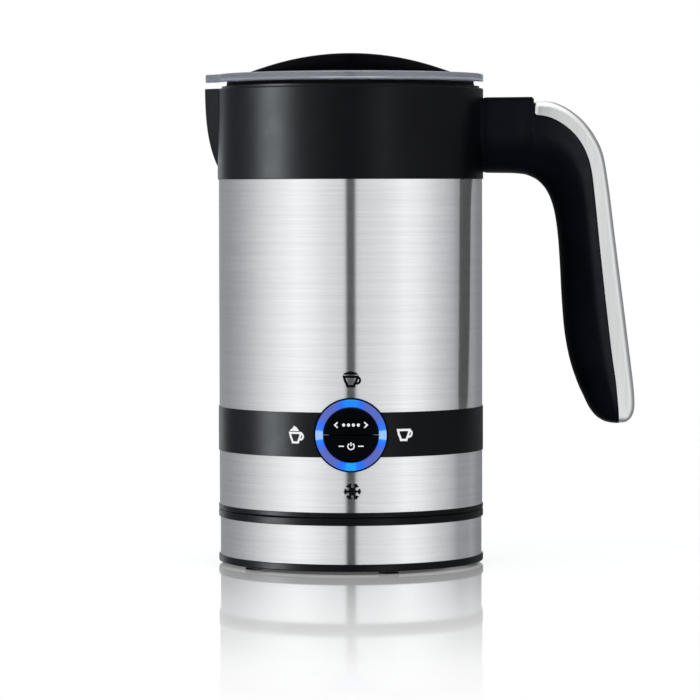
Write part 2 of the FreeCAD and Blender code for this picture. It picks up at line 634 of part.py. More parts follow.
def make_jug_coupler():
    flange_top = Z_GASKET_TOP + COUPLER_FLANGE_T
    roof_top = Z_CUP_ROOF + CUP_ROOF
    cup = turned([
        (CUP_IN, Z_FLOOR + 0.3), (CUP_OUT, Z_FLOOR + 0.3), (CUP_OUT, Z_GASKET_TOP),
        (CUP_FLANGE_R, Z_GASKET_TOP), (CUP_FLANGE_R, flange_top), (CUP_OUT, flange_top),
        (CUP_OUT, roof_top, 0.8), (0, roof_top), (0, Z_CUP_ROOF), (CUP_IN, Z_CUP_ROOF),
    ])
    low = Z_GROOVE + 1.2
    pin = cylinder(CENTRE_PIN_R, low, Z_CUP_ROOF)
    contacts, slots = [], []
    middle_r = SCREW_FIT + CONTACT_T + CONTACT_GAP + CONTACT_T / 2
    for radius, turn in ((0.0, 0.0), (INNER_GROOVE + middle_r, 90.0), (OUTER_GROOVE + middle_r, 270.0)):
        half_t, half_w = CONTACT_T / 2, TERMINAL_W / 2
        contact = pin if radius == 0 else tube(radius + half_t, radius - half_t, low, Z_CUP_ROOF)
        half_t, tab_top = TERMINAL_T / 2, roof_top + TERMINAL_H
        tab = block(radius - half_t, radius + half_t, -half_w, half_w, Z_CUP_ROOF - LAP, tab_top)
        half_t, half_w = half_t + SCREW_FIT, half_w + SCREW_FIT
        slot = block(radius - half_t, radius + half_t, -half_w, half_w, Z_CUP_ROOF - 1, roof_top + 1)
        contacts.append(joined([contact, placed(tab, turn)]))
        slots.append(placed(slot, turn))
    screw_hole = cylinder(SMALL_SCREW_R + SCREW_FIT, Z_GASKET_TOP - 1, flange_top + 1, CUP_SCREW_CIRCLE)
    keep("jug_coupler", without(cup, slots + round_about(screw_hole, THREE_BETWEEN)))
    keep("jug_contacts", *contacts)
    screw = small_screw(CUP_SCREW_CIRCLE, flange_top, flange_top - Z_FLOOR - 0.8, -1)
    keep("jug_coupler_screws", *round_about(screw, THREE_BETWEEN))


# ---------------------------------------------------------------- jug: outer shell
def make_shell():
    hole = across(BEZEL_R + BEZEL_GAP, BAND_FRONT - 10, Y_BOARD, z=Z_BUTTONS)
    keep("lower_sleeve", tube(SLEEVE_R, SLEEVE_IN, Z_LOWER, Z_BAND).cut(hole))
    keep("upper_sleeve", tube(SLEEVE_R, SLEEVE_IN, Z_UPPER, Z_COLLAR).cut(hole))

    skirt_in = SKIRT_OUT - WALL
    band = turned([
        (skirt_in, Z_BAND - BAND_SKIRT_H), (SKIRT_OUT, Z_BAND - BAND_SKIRT_H), (SKIRT_OUT, Z_BAND),
        (RING_R, Z_BAND), (RING_R, Z_UPPER), (SKIRT_OUT, Z_UPPER),
        (SKIRT_OUT, Z_UPPER + BAND_SKIRT_H), (skirt_in, Z_UPPER + BAND_SKIRT_H),
    ])
    front = Y_BOARD - EYELET_DEPTH
    inside = [across(POCKET_R, BAND_FRONT - 1, Y_BOARD - 2, z=Z_BUTTONS)]
    pilots = []
    for x in (-EYELET_X, EYELET_X):
        toward = BEZEL_R * (1 if x > 0 else -1)
        low, high = Z_BUTTONS - EYELET_HALF, Z_BUTTONS + EYELET_HALF
        inside.append(block(x - EYELET_HALF, x + EYELET_HALF, front, Y_BOARD, low, high))
        inside.append(block(min(x, toward), max(x, toward), front, Y_BOARD - 2, low, high))
        pilots.append(across(SMALL_SCREW_R + SCREW_FIT, front + 0.6, Y_BOARD + 1, x=x, z=Z_BUTTONS))
    inside = joined(inside).common(cylinder(SKIRT_OUT - WALL / 3, Z_LOWER, Z_POT))
    keep("control_band", without(joined([band, inside]), [hole] + pilots))


def wedge_section(z, tip, half_w, back):
    """A V-shaped plan section with a rounded tip that points to -X."""
    rounded_off = BEAK_TIP_R / math.sin(math.atan2(half_w, tip - back)) - BEAK_TIP_R
    wire = outline([(-back, -half_w), (-back, half_w), (-tip - rounded_off, 0, BEAK_TIP_R)], in_plan)
    wire.translate(Vector(0, 0, z))
    return wire


def beak_wedge(inset, lift, last_share=1.0):
    """The beak as a loft of V sections, whose reach falls away downwards."""
    back = COLLAR_R - BEAK_ROOT
    sections = []
    for share, reach in BEAK_SHAPE:
        if share <= last_share:
            tip = COLLAR_R + BEAK_REACH * reach - inset
            z = Z_TOP + lift - share * BEAK_H
            sections.append(wedge_section(z, tip, (tip - back) * BEAK_SPREAD, back))
    return Part.makeLoft(sections, True, False)


def make_collar():
    lip_out = COLLAR_R - 1.5
    ring = turned([
        (COLLAR_LOW_IN, Z_COLLAR - SKIRT_H), (SKIRT_OUT, Z_COLLAR - SKIRT_H), (SKIRT_OUT, Z_COLLAR),
        (COLLAR_R, Z_COLLAR, EDGE_R / 2), (COLLAR_R, Z_TOP, EDGE_R), (lip_out, Z_TOP), (lip_out, Z_LIP),
        (COLLAR_IN, Z_LIP), (COLLAR_IN, Z_LEDGE), (LEDGE_IN, Z_LEDGE), (LEDGE_IN, Z_LEDGE - LEDGE_T),
        (COLLAR_LOW_IN, Z_LEDGE_UNDER),
    ])
    beak = beak_wedge(0.0, 0.0).cut(cylinder(lip_out - LAP, Z_COLLAR - SKIRT_H, Z_PLATE))
    channel = beak_wedge(BEAK_WALL, BEAK_CHANNEL_LIFT, BEAK_CHANNEL_SHARE)
    screw_holes = [along_x(HANDLE_SCREW_R + 0.15, COLLAR_LOW_IN - 3, COLLAR_R + 3, z)
                   for z in Z_HANDLE_SCREWS]
    keep("collar", without(joined([ring, beak]), [channel] + screw_holes))
    keep("pot_gasket", tube(POT_FLANGE_R - 0.2, LEDGE_IN + 0.2, Z_LEDGE, Z_LEDGE + GASKET_T))


# ---------------------------------------------------------------- jug: handle
def handle_point(station):
    """A point of the side view, from its distance out of the collar and its drop below the top."""
    return Vector(COLLAR_R + station[0], 0, Z_TOP - station[1])


def handle_section(inner, outer, half_w, taper, edge_r, inset):
    """A closed section through two points of the side view: a half ellipse towards the jug, then
    nearly flat sides to a flat outer face with rounded edges."""
    along = outer - inner
    depth = along.Length - 2 * inset
    along.normalize()
    start = inner + along * inset
    half_w = half_w - inset
    outer_w = half_w - taper
    edge_r = max(edge_r - inset, 0.8)
    belly = depth * 0.55
    corner = edge_r * (1 - SLANT)
    quarter = math.pi / 2

    def at(u, v):
        return start + along * u + Vector(0, v, 0)

    def heading(u, v):
        return (along * u + Vector(0, v, 0)) * quarter

    curve = Part.BSplineCurve()
    curve.interpolate(
        Points=[at(belly, half_w), at(belly * (1 - SLANT), half_w * SLANT), at(0, 0),
                at(belly * (1 - SLANT), -half_w * SLANT), at(belly, -half_w)],
        Tangents=[heading(-belly, 0), heading(-belly * SLANT, -half_w * SLANT), heading(0, -half_w),
                  heading(belly * SLANT, -half_w * SLANT), heading(belly, 0)],
        TangentFlags=[True] * 5)
    return Part.Wire([
        curve.toShape(),
        Part.LineSegment(at(belly, -half_w), at(depth - edge_r, -outer_w)).toShape(),
        Part.Arc(at(depth - edge_r, -outer_w), at(depth - corner, corner - outer_w),
                 at(depth, edge_r - outer_w)).toShape(),
        Part.LineSegment(at(depth, edge_r - outer_w), at(depth, outer_w - edge_r)).toShape(),
        Part.Arc(at(depth, outer_w - edge_r), at(depth - corner, outer_w - corner),
                 at(depth - edge_r, outer_w)).toShape(),
        Part.LineSegment(at(depth - edge_r, outer_w), at(belly, half_w)).toShape(),
    ])


def grip_end_sections(inset):
    """Sections that close in on the grip's rounded lower end."""
    inner, outer = [handle_point(p) for p in GRIP_END_TOP]
    end = handle_point(GRIP_END)
    middle = (inner + outer) / 2
    sections = []
    for degrees in GRIP_END_STEPS_DEG:
        share = math.cos(math.radians(degrees))
        fall = math.sin(math.radians(degrees))
        centre_x = middle.x + (end.x - middle.x) * fall
        half_depth = (outer.x - inner.x) / 2 * share
        if half_depth < inset + 2.4:
            break
        low_in = Vector(centre_x - half_depth, 0, inner.z + (end.z - inner.z) * fall + inset * fall)
        low_out = Vector(centre_x + half_depth, 0, outer.z + (end.z - outer.z) * fall + inset * fall)
        half_w = (HANDLE_TIP_HALF_W - inset) * share + inset
        edge_r = min(HANDLE_EDGE_R, (half_w - inset - HANDLE_TAPER * share) * 0.5 + inset)
        sections.append(handle_section(low_in, low_out, half_w, HANDLE_TAPER * share, edge_r, inset))
    return sections


def handle_form(inset, first=0):
    """The handle's whole form, or the same form shrunk by an inset."""
    last = len(HANDLE_STATIONS) - 1
    sections = []
    for i, (inner, outer) in enumerate(HANDLE_STATIONS):
        if i >= first:
            half_w = HANDLE_ROOT_HALF_W + (HANDLE_TIP_HALF_W - HANDLE_ROOT_HALF_W) * i / last
            sections.append(handle_section(handle_point(inner), handle_point(outer), half_w, HANDLE_TAPER,
                                           HANDLE_EDGE_R, inset))
    return Part.makeLoft(sections + grip_end_sections(inset), True, False)


def arm_top():
    """The arm's flat-topped upper part, which stands over the trim by one step."""
    z_high = Z_TOP - HANDLE_STATIONS[0][1][1] + ARM_STEP
    z_low = z_high - ARM_STEP - ARM_DEPTH
    x_in, x_out = COLLAR_R - 4.5, COLLAR_R + ARM_LENGTH
    half_w = HANDLE_ROOT_HALF_W - 0.4
    profile = outline([(x_in, z_low), (x_out, z_low), (x_out, z_high, 0.8), (x_in, z_high)])
    profile.translate(Vector(0, -half_w, 0))
    top = Part.Face(profile).extrude(Vector(0, 2 * half_w, 0))
    plan = block(x_in, x_out, -half_w, half_w, z_low, z_high)
    long_edges = [e for e in plan.Edges if e.BoundBox.XLength > 1 and e.BoundBox.ZMin > z_low + 1]
    return top.common(plan.makeFillet(2.4, long_edges))


def seam_region(gap):
    """All the space on the outer side of the seam, less a gap."""
    curve = Part.BSplineCurve()
    curve.interpolate([handle_point(p) + Vector(gap, -30, gap) for p in SEAM])
    first, last = curve.StartPoint, curve.EndPoint
    far_x = COLLAR_R + 90
    high = Z_TOP + 20
    corners = [last, Vector(far_x, -30, last.z), Vector(far_x, -30, high), Vector(first.x, -30, high), first]
    edges = [curve.toShape()] + [Part.LineSegment(a, b).toShape() for a, b in zip(corners, corners[1:])]
    return Part.Face(Part.Wire(edges)).extrude(Vector(0, 60, 0))


def make_handle():
    whole = handle_form(0.0)
    solid_end = COLLAR_R + ARM_SOLID
    cavity = handle_form(HANDLE_WALL, first=3).cut(block(0, solid_end, -30, 30, Z_COLLAR - 20, Z_TOP))
    grip = joined([whole.cut(seam_region(0.0)), arm_top()]).cut([cavity, cylinder(COLLAR_R, 0, Z_TOP + 20)])
    seat = math.sqrt(COLLAR_LOW_IN ** 2 - HANDLE_HEAD_R ** 2)
    tip = COLLAR_R + HANDLE_SCREW_GRIP
    pilots, screws = [], []
    for z in Z_HANDLE_SCREWS:
        pilots.append(along_x(HANDLE_SCREW_R + SCREW_FIT, COLLAR_R - 5, tip + 1, z))
        head = along_x(HANDLE_HEAD_R, seat - HANDLE_HEAD_H, seat, z)
        screws.append(joined([along_x(HANDLE_SCREW_R, seat, tip, z), head]))
    keep("handle_grip", without(grip, pilots))
    keep("handle_screws", *screws)
    behind_step = block(0, COLLAR_R + ARM_LENGTH + TRIM_GAP, -30, 30, Z_COLLAR, Z_TOP)
    keep("handle_trim", whole.common(seam_region(TRIM_GAP)).cut([handle_form(TRIM_T, first=2), behind_step]))


# ---------------------------------------------------------------- jug: pot and heater
def make_pot():
    flange_under = Z_POT_RIM - POT_T
    keep("pot", turned([
        (0, Z_POT), (POT_R, Z_POT, POT_CORNER_R), (POT_R, flange_under, 0.3), (POT_FLANGE_R, flange_under),
        (POT_FLANGE_R, Z_POT_RIM, 0.3), (POT_IN, Z_POT_RIM, 1.0), (POT_IN, Z_POT_FLOOR, POT_CORNER_R - POT_T),
        (0, Z_POT_FLOOR),
    ]))
    foot_top = Z_POT_FLOOR + PIN_FOOT_H
    pin_top = Z_POT_FLOOR + PIN_H
    keep("whisk_pin", turned([
        (0, Z_POT_FLOOR), (PIN_FOOT_R, Z_POT_FLOOR), (PIN_FOOT_R, foot_top, 0.4), (PIN_R, foot_top, 0.3),
        (PIN_R, pin_top, 0.6), (0, pin_top),
    ]))
    stud = cylinder(STUD_R, Z_CHASSIS - NUT_H - 1, Z_POT, STUD_CIRCLE)
    corner_r = NUT_FLATS / math.sqrt(3)
    sixths = [math.radians(60 * i) for i in range(6)]
    hexagon = [(STUD_CIRCLE + corner_r * math.cos(a), corner_r * math.sin(a)) for a in sixths]
    nut = Part.Face(outline(hexagon, in_plan)).extrude(Vector(0, 0, NUT_H))
    nut.translate(Vector(0, 0, Z_CHASSIS - NUT_H))
    nut = nut.cut(cylinder(STUD_R + SCREW_FIT, Z_CHASSIS - 5, Z_CHASSIS + 5, STUD_CIRCLE))
    keep("pot_studs_and_nuts", *round_about(stud, STUD_WAYS), *round_about(nut, STUD_WAYS))


def heating_tube(radius, start, sweep):
    centre = Vector(HEATER_R, 0, Z_HEATER - HEATER_TUBE_R + HEATER_SINK)
    circle = Part.Wire(Part.Circle(centre, Vector(0, 1, 0), radius).toShape())
    return placed(Part.Face(circle).revolve(Vector(0, 0, 0), Vector(0, 0, 1), sweep), start)


def make_heater():
    start = 90.0 + (FULL_TURN - HEATER_SWEEP) / 2
    plate = tube(HEATER_R + HEATER_PLATE_OVER, HEATER_R - HEATER_PLATE_UNDER, Z_HEATER, Z_POT)
    keep("heater_plate", plate.cut(heating_tube(HEATER_TUBE_R + 0.03, start - 0.5, HEATER_SWEEP + 1.0)))
    z_centre = Z_HEATER - HEATER_TUBE_R + HEATER_SINK
    pins = []
    for turn, way in ((start, -1), (start + HEATER_SWEEP, 1)):
        foot, heading = Vector(HEATER_R, 0, z_centre), Vector(0, way, 0)
        pins.append(placed(Part.makeCylinder(HEATER_PIN_R, HEATER_PIN_LENGTH, foot, heading), turn))
    keep("heater_element", heating_tube(HEATER_TUBE_R, start, HEATER_SWEEP), *pins)

    neck_r, low = CUTOUT_R * 0.8, Z_HEATER - CUTOUT_H
    body = turned([
        (0, low), (neck_r, low, 0.5), (neck_r, Z_HEATER - 2), (CUTOUT_R, Z_HEATER - 2),
        (CUTOUT_R, Z_HEATER), (0, Z_HEATER),
    ])
    tabs = [block(x - 0.4, x + 0.4, -2, 2, low - 2.5, low + LAP) for x in (-3, 3)]
    cutout = joined([body] + tabs)
    cutout.translate(Vector(0, HEATER_R, 0))
    keep("thermal_cutout", cutout)
    low = Z_HEATER - SENSOR_H
    sensor = turned([(0, low), (SENSOR_R, low, 0.8), (SENSOR_R, Z_HEATER), (0, Z_HEATER)])
    sensor.translate(Vector(SENSOR_CIRCLE, 0, 0))
    keep("temperature_sensor", placed(sensor, SENSOR_DEG))


# ---------------------------------------------------------------- jug: chassis, motor and drive
def make_chassis():
    over = Z_CHASSIS + CHASSIS_T
    rim_top = over + CHASSIS_RIM_H
    plate = cylinder(CHASSIS_R, Z_CHASSIS, over)
    rim = tube(CHASSIS_R, CHASSIS_R - 1.6, Z_CHASSIS, rim_top)
    posts = round_about(cylinder(POST_R, Z_FLOOR_TOP, Z_CHASSIS + LAP, POST_CIRCLE), THREE_WAYS)
    posts += round_about(cylinder(STUD_POST_R, over - LAP, Z_POT, STUD_CIRCLE), STUD_WAYS)
    cuts = [cylinder(MOTOR_NECK_R + 0.3, Z_CHASSIS - 1, over + 1)]
    cuts += round_about(cylinder(STUD_R + FIT, Z_CHASSIS - 1, Z_POT + 1, STUD_CIRCLE), STUD_WAYS)
    pilot_top = Z_FLOOR_TOP + FLOOR_SCREW_LENGTH
    cuts += round_about(cylinder(SCREW_R + SCREW_FIT, Z_FLOOR_TOP - 1, pilot_top, POST_CIRCLE), THREE_WAYS)
    motor_hole = cylinder(MOTOR_SCREW_R + FIT, Z_CHASSIS - 1, over + 1, MOTOR_SCREW_CIRCLE)
    cuts += round_about(motor_hole, (0.0, 180.0))
    cuts += round_about(cylinder(VENT_R, Z_CHASSIS - 1, over + 1, VENT_CIRCLE), (45.0, 135.0, 225.0, 315.0))
    cuts.append(block(-POCKET_R - 2, POCKET_R + 2, -FAR, Y_BOARD - 1, Z_CHASSIS - 1, rim_top + 1))
    keep("chassis", without(joined([plate, rim] + posts), cuts))


def make_motor():
    top = Z_CHASSIS
    low = top - MOTOR_H
    can_in = MOTOR_R - MOTOR_WALL
    cap_top = low + MOTOR_CAP_H
    bore = BEARING_R + 0.02
    can = turned([
        (bore, top - MOTOR_WALL), (can_in, top - MOTOR_WALL), (can_in, cap_top), (MOTOR_R, cap_top),
        (MOTOR_R, top, 1.0), (MOTOR_NECK_R, top), (MOTOR_NECK_R, top + MOTOR_NECK_H, 0.3),
        (bore, top + MOTOR_NECK_H),
    ])
    screw_hole = cylinder(MOTOR_SCREW_R + SCREW_FIT, top - 2, top + 1, MOTOR_SCREW_CIRCLE)
    keep("motor_can", can.cut(round_about(screw_hole, (0.0, 180.0))))
    cap_r = MOTOR_R - 0.3
    cap = turned([(bore, low), (cap_r, low, 0.6), (cap_r, cap_top), (bore, cap_top)])
    tags = [block(x - 1.4, x + 1.4, -0.3, 0.3, cap_top - LAP, cap_top + 2.5) for x in (-9.0, 9.0)]
    keep("motor_end_cap", joined([cap] + tags))
    keep("motor_bearings", tube(BEARING_R, SHAFT_R + SHAFT_FIT, top - 1.2, top + MOTOR_NECK_H),
         tube(BEARING_R, SHAFT_R + SHAFT_FIT, low, cap_top))
    field_out = can_in - SCREW_FIT
    field = tube(field_out, field_out - FIELD_T, cap_top + 4, top - 3.5)
    keep("field_magnets", field.cut(block(-4, 4, -30, 30, low, top)))

    keep("motor_shaft", cylinder(SHAFT_R, low - 0.8, Z_ROTOR_TOP - 1))
    stack = tube(field_out - FIELD_T - AIR_GAP, SHAFT_R + 0.02, cap_top + 5, top - 4.5)
    slot = block(5.5, MOTOR_R, -1.6, 1.6, low, top)
    commutator = tube(3.2, SHAFT_R + 0.02, cap_top + 1, cap_top + 4.4)
    keep("armature", stack.cut(round_about(slot, (60.0, 180.0, 300.0))), commutator)
    screw = pan_screw(MOTOR_SCREW_CIRCLE, top + CHASSIS_T, CHASSIS_T + 1.2, MOTOR_SCREW_R, 2.0, 1.2, -1)
    keep("motor_screws", *round_about(screw, (0.0, 180.0)))


def make_drive():
    low = Z_ROTOR_TOP - ROTOR_H
    disc_low = low + ROTOR_HUB_H
    bore = SHAFT_R + 0.02
    rotor = turned([
        (bore, low), (ROTOR_HUB_R, low, 0.4), (ROTOR_HUB_R, disc_low, 0.5), (ROTOR_R, disc_low, 0.8),
        (ROTOR_R, Z_ROTOR_TOP, 0.8), (bore, Z_ROTOR_TOP),
    ])
    seat = Z_ROTOR_TOP - MAGNET_H
    pocket = cylinder(MAGNET_R + SCREW_FIT, seat, Z_ROTOR_TOP + 1, MAGNET_CIRCLE)
    keep("magnet_rotor", rotor.cut(round_about(pocket, FOUR_WAYS)))
    keep("drive_magnets", *round_about(cylinder(MAGNET_R, seat, Z_ROTOR_TOP - FIT, MAGNET_CIRCLE), FOUR_WAYS))


# ---------------------------------------------------------------- jug: boards
def make_power_board():
    low = Z_FLOOR_TOP + BOARD_RAISE
    back = BOARD_Y
    high = Z_CHASSIS - BOARD_TOP_GAP
    keep("power_board", block(-BOARD_HALF_W, BOARD_HALF_W, back, back + BOARD_T, low, high))
    relay = block(-20, -5, back - 10, back, low + 17, low + 29)
    relay = relay.makeFillet(0.6, relay.Edges)
    coil_x, coil_z = 6.0, low + 22
    core = block(coil_x - 7, coil_x + 7, back - 12, back, coil_z - 7, coil_z + 7)
    window = across(6.2, back - 10.8, back - 0.8, coil_x, coil_z)
    window = window.cut(across(2.6, back - 12, back, coil_x, coil_z))
    winding = across(5.2, back - 10.4, back - 1.2, coil_x, coil_z)
    winding = winding.cut(across(2.8, back - 12, back, coil_x, coil_z))
    round_capacitor = across(4.0, back - 11, back, -14.5, low + 9)
    film_capacitor = block(9.5, 19.5, back - 6, back, low + 5, low + 13)
    keep("power_components", relay, core.cut(window), winding, round_capacitor, film_capacitor)


# ---------------------------------------------------------------- jug: control disc
def round_face(proud):
    """The space behind the curved face that stands proud of the band."""
    return cylinder(RING_R + proud, Z_BUTTONS - BAND_H * 2, Z_BUTTONS + BAND_H * 2)


def disc(radius, back, proud):
    """A disc from a flat back to the curved face that stands proud of the band."""
    return across(radius, BAND_FRONT - 5, back, z=Z_BUTTONS).common(round_face(proud))


def softened(shape, proud, radius):
    """The shape with the edges of its curved front face rounded."""
    for face in shape.Faces:
        surface = face.Surface
        if isinstance(surface, Part.Cylinder) and abs(surface.Radius - RING_R - proud) < 1e-4:
            return shape.makeFillet(radius, face.Edges)
    return shape


def about_buttons(shape, degrees):
    """A copy turned about the control disc's own axis."""
    copy = shape.copy()
    copy.rotate(Vector(0, 0, Z_BUTTONS), Vector(0, 1, 0), degrees)
    return copy


def make_bezel_and_glow():
    hollow = GLOW_OUT_R - GLOW_SEAT
    cuts = [
        across(GLOW_OUT_R + FIT / 2, BAND_FRONT - 6, Y_GLOW_BACK, z=Z_BUTTONS),
        across(hollow, BAND_FRONT - 6, Y_BEZEL_FLOOR, z=Z_BUTTONS),
        across(hollow, Y_BEZEL_BACK, Y_BOARD, z=Z_BUTTONS),
    ]
    half = STEM_HALF + STEM_GAP
    for side in (-1, 1):
        z = Z_BUTTONS + side * STEM_Z
        cuts.append(block(-half, half, Y_BEZEL_FLOOR - 1, Y_BEZEL_BACK + 1, z - half, z + half))
    window = across(1.9, Y_BEZEL_FLOOR - 1, Y_BEZEL_BACK + 1, x=LED_CIRCLE - 0.5, z=Z_BUTTONS)
    cuts += [about_buttons(window, a) for a in FOUR_WAYS]
    keep("control_bezel", without(disc(BEZEL_R, Y_BOARD - 2.2, BEZEL_PROUD), cuts))
    middle = across(GLOW_IN_R, BAND_FRONT - 6, Y_GLOW_BACK + 1, z=Z_BUTTONS)
    glow = disc(GLOW_OUT_R, Y_GLOW_BACK, GLOW_PROUD).cut(middle)
    keep("light_ring", softened(glow, GLOW_PROUD, 0.35))


def make_button(name, side):
    """One half-round button with its flange, stem and the switch plunger that it pushes."""
    z_in = Z_BUTTONS + side * BUTTON_SPLIT / 2
    z_out = Z_BUTTONS + side * BEZEL_R * 2
    half = block(-FAR, FAR, -FAR, 0, min(z_in, z_out), max(z_in, z_out))
    cap = softened(disc(BUTTON_R, Y_FLANGE + BUTTON_FLANGE_T, BUTTON_PROUD).common(half), BUTTON_PROUD, 0.4)
    flange = across(BUTTON_R + BUTTON_FLANGE, Y_FLANGE, Y_FLANGE + BUTTON_FLANGE_T, z=Z_BUTTONS).common(half)
    z = Z_BUTTONS + side * STEM_Z
    stem = block(-STEM_HALF, STEM_HALF, Y_FLANGE + LAP, Y_STEM, z - STEM_HALF, z + STEM_HALF)
    keep(name + "_button", joined([cap, flange, stem]))
    keep(name + "_plunger", across(PLUNGER_R, Y_STEM, Y_SWITCH + PLUNGER_IN, z=z))


def make_control_board():
    shaft_hole = across(PLUNGER_R + 0.15, Y_SWITCH - 1, Y_BOARD - LAP, z=Z_BUTTONS)
    low, high = Z_BUTTONS - SWITCH_HALF, Z_BUTTONS + SWITCH_HALF
    body = block(-SWITCH_HALF, SWITCH_HALF, Y_SWITCH, Y_BOARD, low, high)
    switches = []
    for side in (-1, 1):
        switch = body.cut(shaft_hole)
        switch.translate(Vector(0, 0, side * STEM_Z))
        switches.append(switch)
    keep("tact_switches", *switches)
    near, far = LED_CIRCLE - LED_HALF, LED_CIRCLE + LED_HALF
    led = block(near, far, Y_BOARD - LED_T, Y_BOARD, Z_BUTTONS - LED_HALF, Z_BUTTONS + LED_HALF)
    keep("indicator_leds", *[about_buttons(led, a) for a in FOUR_WAYS])
    board = block(-CONTROL_BOARD_HALF_W, CONTROL_BOARD_HALF_W, Y_BOARD, Y_BOARD_BACK,
                  Z_BUTTONS - CONTROL_BOARD_DROP, Z_CHASSIS - 0.6)
    holes, screws = [], []
    for x in (-EYELET_X, EYELET_X):
        holes.append(across(SMALL_SCREW_R + FIT, Y_BOARD - 1, Y_BOARD_BACK + 1, x=x, z=Z_BUTTONS))
        shank = across(SMALL_SCREW_R, Y_BOARD - 3, Y_BOARD_BACK, x=x, z=Z_BUTTONS)
        head = across(SMALL_HEAD_R, Y_BOARD_BACK, Y_BOARD_BACK + SMALL_HEAD_H, x=x, z=Z_BUTTONS)
        screws.append(joined([shank, head]))
    keep("control_board", board.cut(holes))
    keep("control_screws", *screws)


# ---------------------------------------------------------------- lid
def nosed_disc(low, high):
    """The lid's plate: a round disc with a short V-shaped tongue over the beak."""
    half_w = LID_NOSE_REACH * LID_NOSE_SPREAD + 2
    back = math.sqrt(LID_R ** 2 - half_w ** 2) - 1
    tongue = Part.Face(wedge_section(low, LID_R + LID_NOSE_REACH, half_w, back))
    tongue = tongue.extrude(Vector(0, 0, high - low))
    return joined([cylinder(LID_R, low, high), tongue])


def leaf(half_l, half_w, low, high):
    """A leaf-shaped plan: two equal arcs that meet in points on the X axis."""
    arc_r = (half_l ** 2 + half_w ** 2) / (2 * half_w)
    offset = arc_r - half_w
    return cylinder(arc_r, low, high, 0, offset).common(cylinder(arc_r, low, high, 0, -offset))


def make_lid():
    plate = nosed_disc(Z_PLATE, Z_PLATE_TOP)
    plate = plate.makeFillet(LID_EDGE_R, [e for e in plate.Edges if e.BoundBox.ZLength < 1e-4])
    skirt = tube(LID_SKIRT_R, LID_SKIRT_R - SKIRT_T, Z_PLATE - LID_SKIRT_H, Z_PLATE + LAP)
    seal_low = Z_PLATE - SEAL_H
    groove = tube(LID_SKIRT_R + 1, LID_SKIRT_R - SEAL_GROOVE, seal_low, seal_low + SEAL_H)
    flange_low = Z_PLATE_TOP - GRIP_SEAT
    flange_inset = GRIP_FLANGE_INSET - FIT
    seat = leaf(GRIP_HALF_L - flange_inset, GRIP_HALF_W - flange_inset, flange_low, Z_PLATE_TOP + 1)
    screw_places = (-GRIP_SCREW_X, GRIP_SCREW_X)
    holes = [cylinder(SMALL_SCREW_R + FIT, Z_PLATE - 1, Z_PLATE_TOP + 1, x) for x in screw_places]
    keep("lid_plate", without(joined([plate, skirt]), [groove, seat] + holes))

    seal_in = LID_SKIRT_R - SEAL_GROOVE + SCREW_FIT
    seal_flat, seal_out = LID_SKIRT_R + FIT, LID_SKIRT_R + SEAL_OUT
    low, high = seal_low + SCREW_FIT, seal_low + SEAL_H - SCREW_FIT
    keep("lid_seal", turned([
        (seal_in, low), (seal_flat, low), (seal_out, low + SEAL_H / 3, 0.4),
        (seal_out, high - SEAL_H / 3, 0.4), (seal_flat, high), (seal_in, high),
    ]))

    crown_z = Z_PLATE_TOP + GRIP_H
    crown = across(GRIP_ARC_R, -GRIP_HALF_L, GRIP_HALF_L, z=crown_z - GRIP_ARC_R)
    grip = leaf(GRIP_HALF_L, GRIP_HALF_W, Z_PLATE_TOP, crown_z + 1).common(crown)
    flange_l, flange_w = GRIP_HALF_L - GRIP_FLANGE_INSET, GRIP_HALF_W - GRIP_FLANGE_INSET
    flange = leaf(flange_l, flange_w, flange_low, Z_PLATE_TOP + LAP)
    pilots = [cylinder(SMALL_SCREW_R + SCREW_FIT, flange_low - 1, Z_PLATE_TOP + GRIP_SCREW_GRIP + 1, x)
              for x in screw_places]
    keep("lid_grip", without(joined([grip, flange]), pilots))
    keep("grip_screws", *[small_screw(x, Z_PLATE, LID_T + GRIP_SCREW_GRIP) for x in screw_places])


# ---------------------------------------------------------------- whisk
def make_whisk():
    bush_top = Z_POT_FLOOR + PIN_H + 0.6
    keep("whisk_bushing", tube(BUSH_R, BUSH_IN, Z_HUB - 0.3, bush_top))
    bore = BUSH_R + BUSH_CLEAR
    hub_top = Z_HUB + HUB_H
    cap_top = bush_top + HUB_CAP
    hub = turned([
        (bore, Z_HUB), (HUB_R, Z_HUB, 0.6), (HUB_R, hub_top, 0.6), (HUB_NECK_R, hub_top, 1.2),
        (HUB_NECK_R - 0.6, cap_top, 0.8), (0, cap_top), (0, bush_top + FIT), (bore, bush_top + FIT),
    ])
    waist = Vector(0, 0, Z_HUB + HUB_H / 2)
    coil_centre = HUB_R + COIL_OUT
    groove = Part.makeTorus(coil_centre, COIL_R + COIL_CLEAR, waist)
    pocket = cylinder(WHISK_MAGNET_R + SCREW_FIT, Z_HUB - 1, Z_HUB + WHISK_MAGNET_H, WHISK_MAGNET_CIRCLE)
    keep("whisk_hub", hub.cut([groove] + round_about(pocket, FOUR_WAYS)))
    magnet = cylinder(WHISK_MAGNET_R, Z_HUB + FIT, Z_HUB + WHISK_MAGNET_H, WHISK_MAGNET_CIRCLE)
    keep("whisk_magnets", *round_about(magnet, FOUR_WAYS))
    keep("whisk_coil", Part.makeTorus(coil_centre, COIL_R, waist))


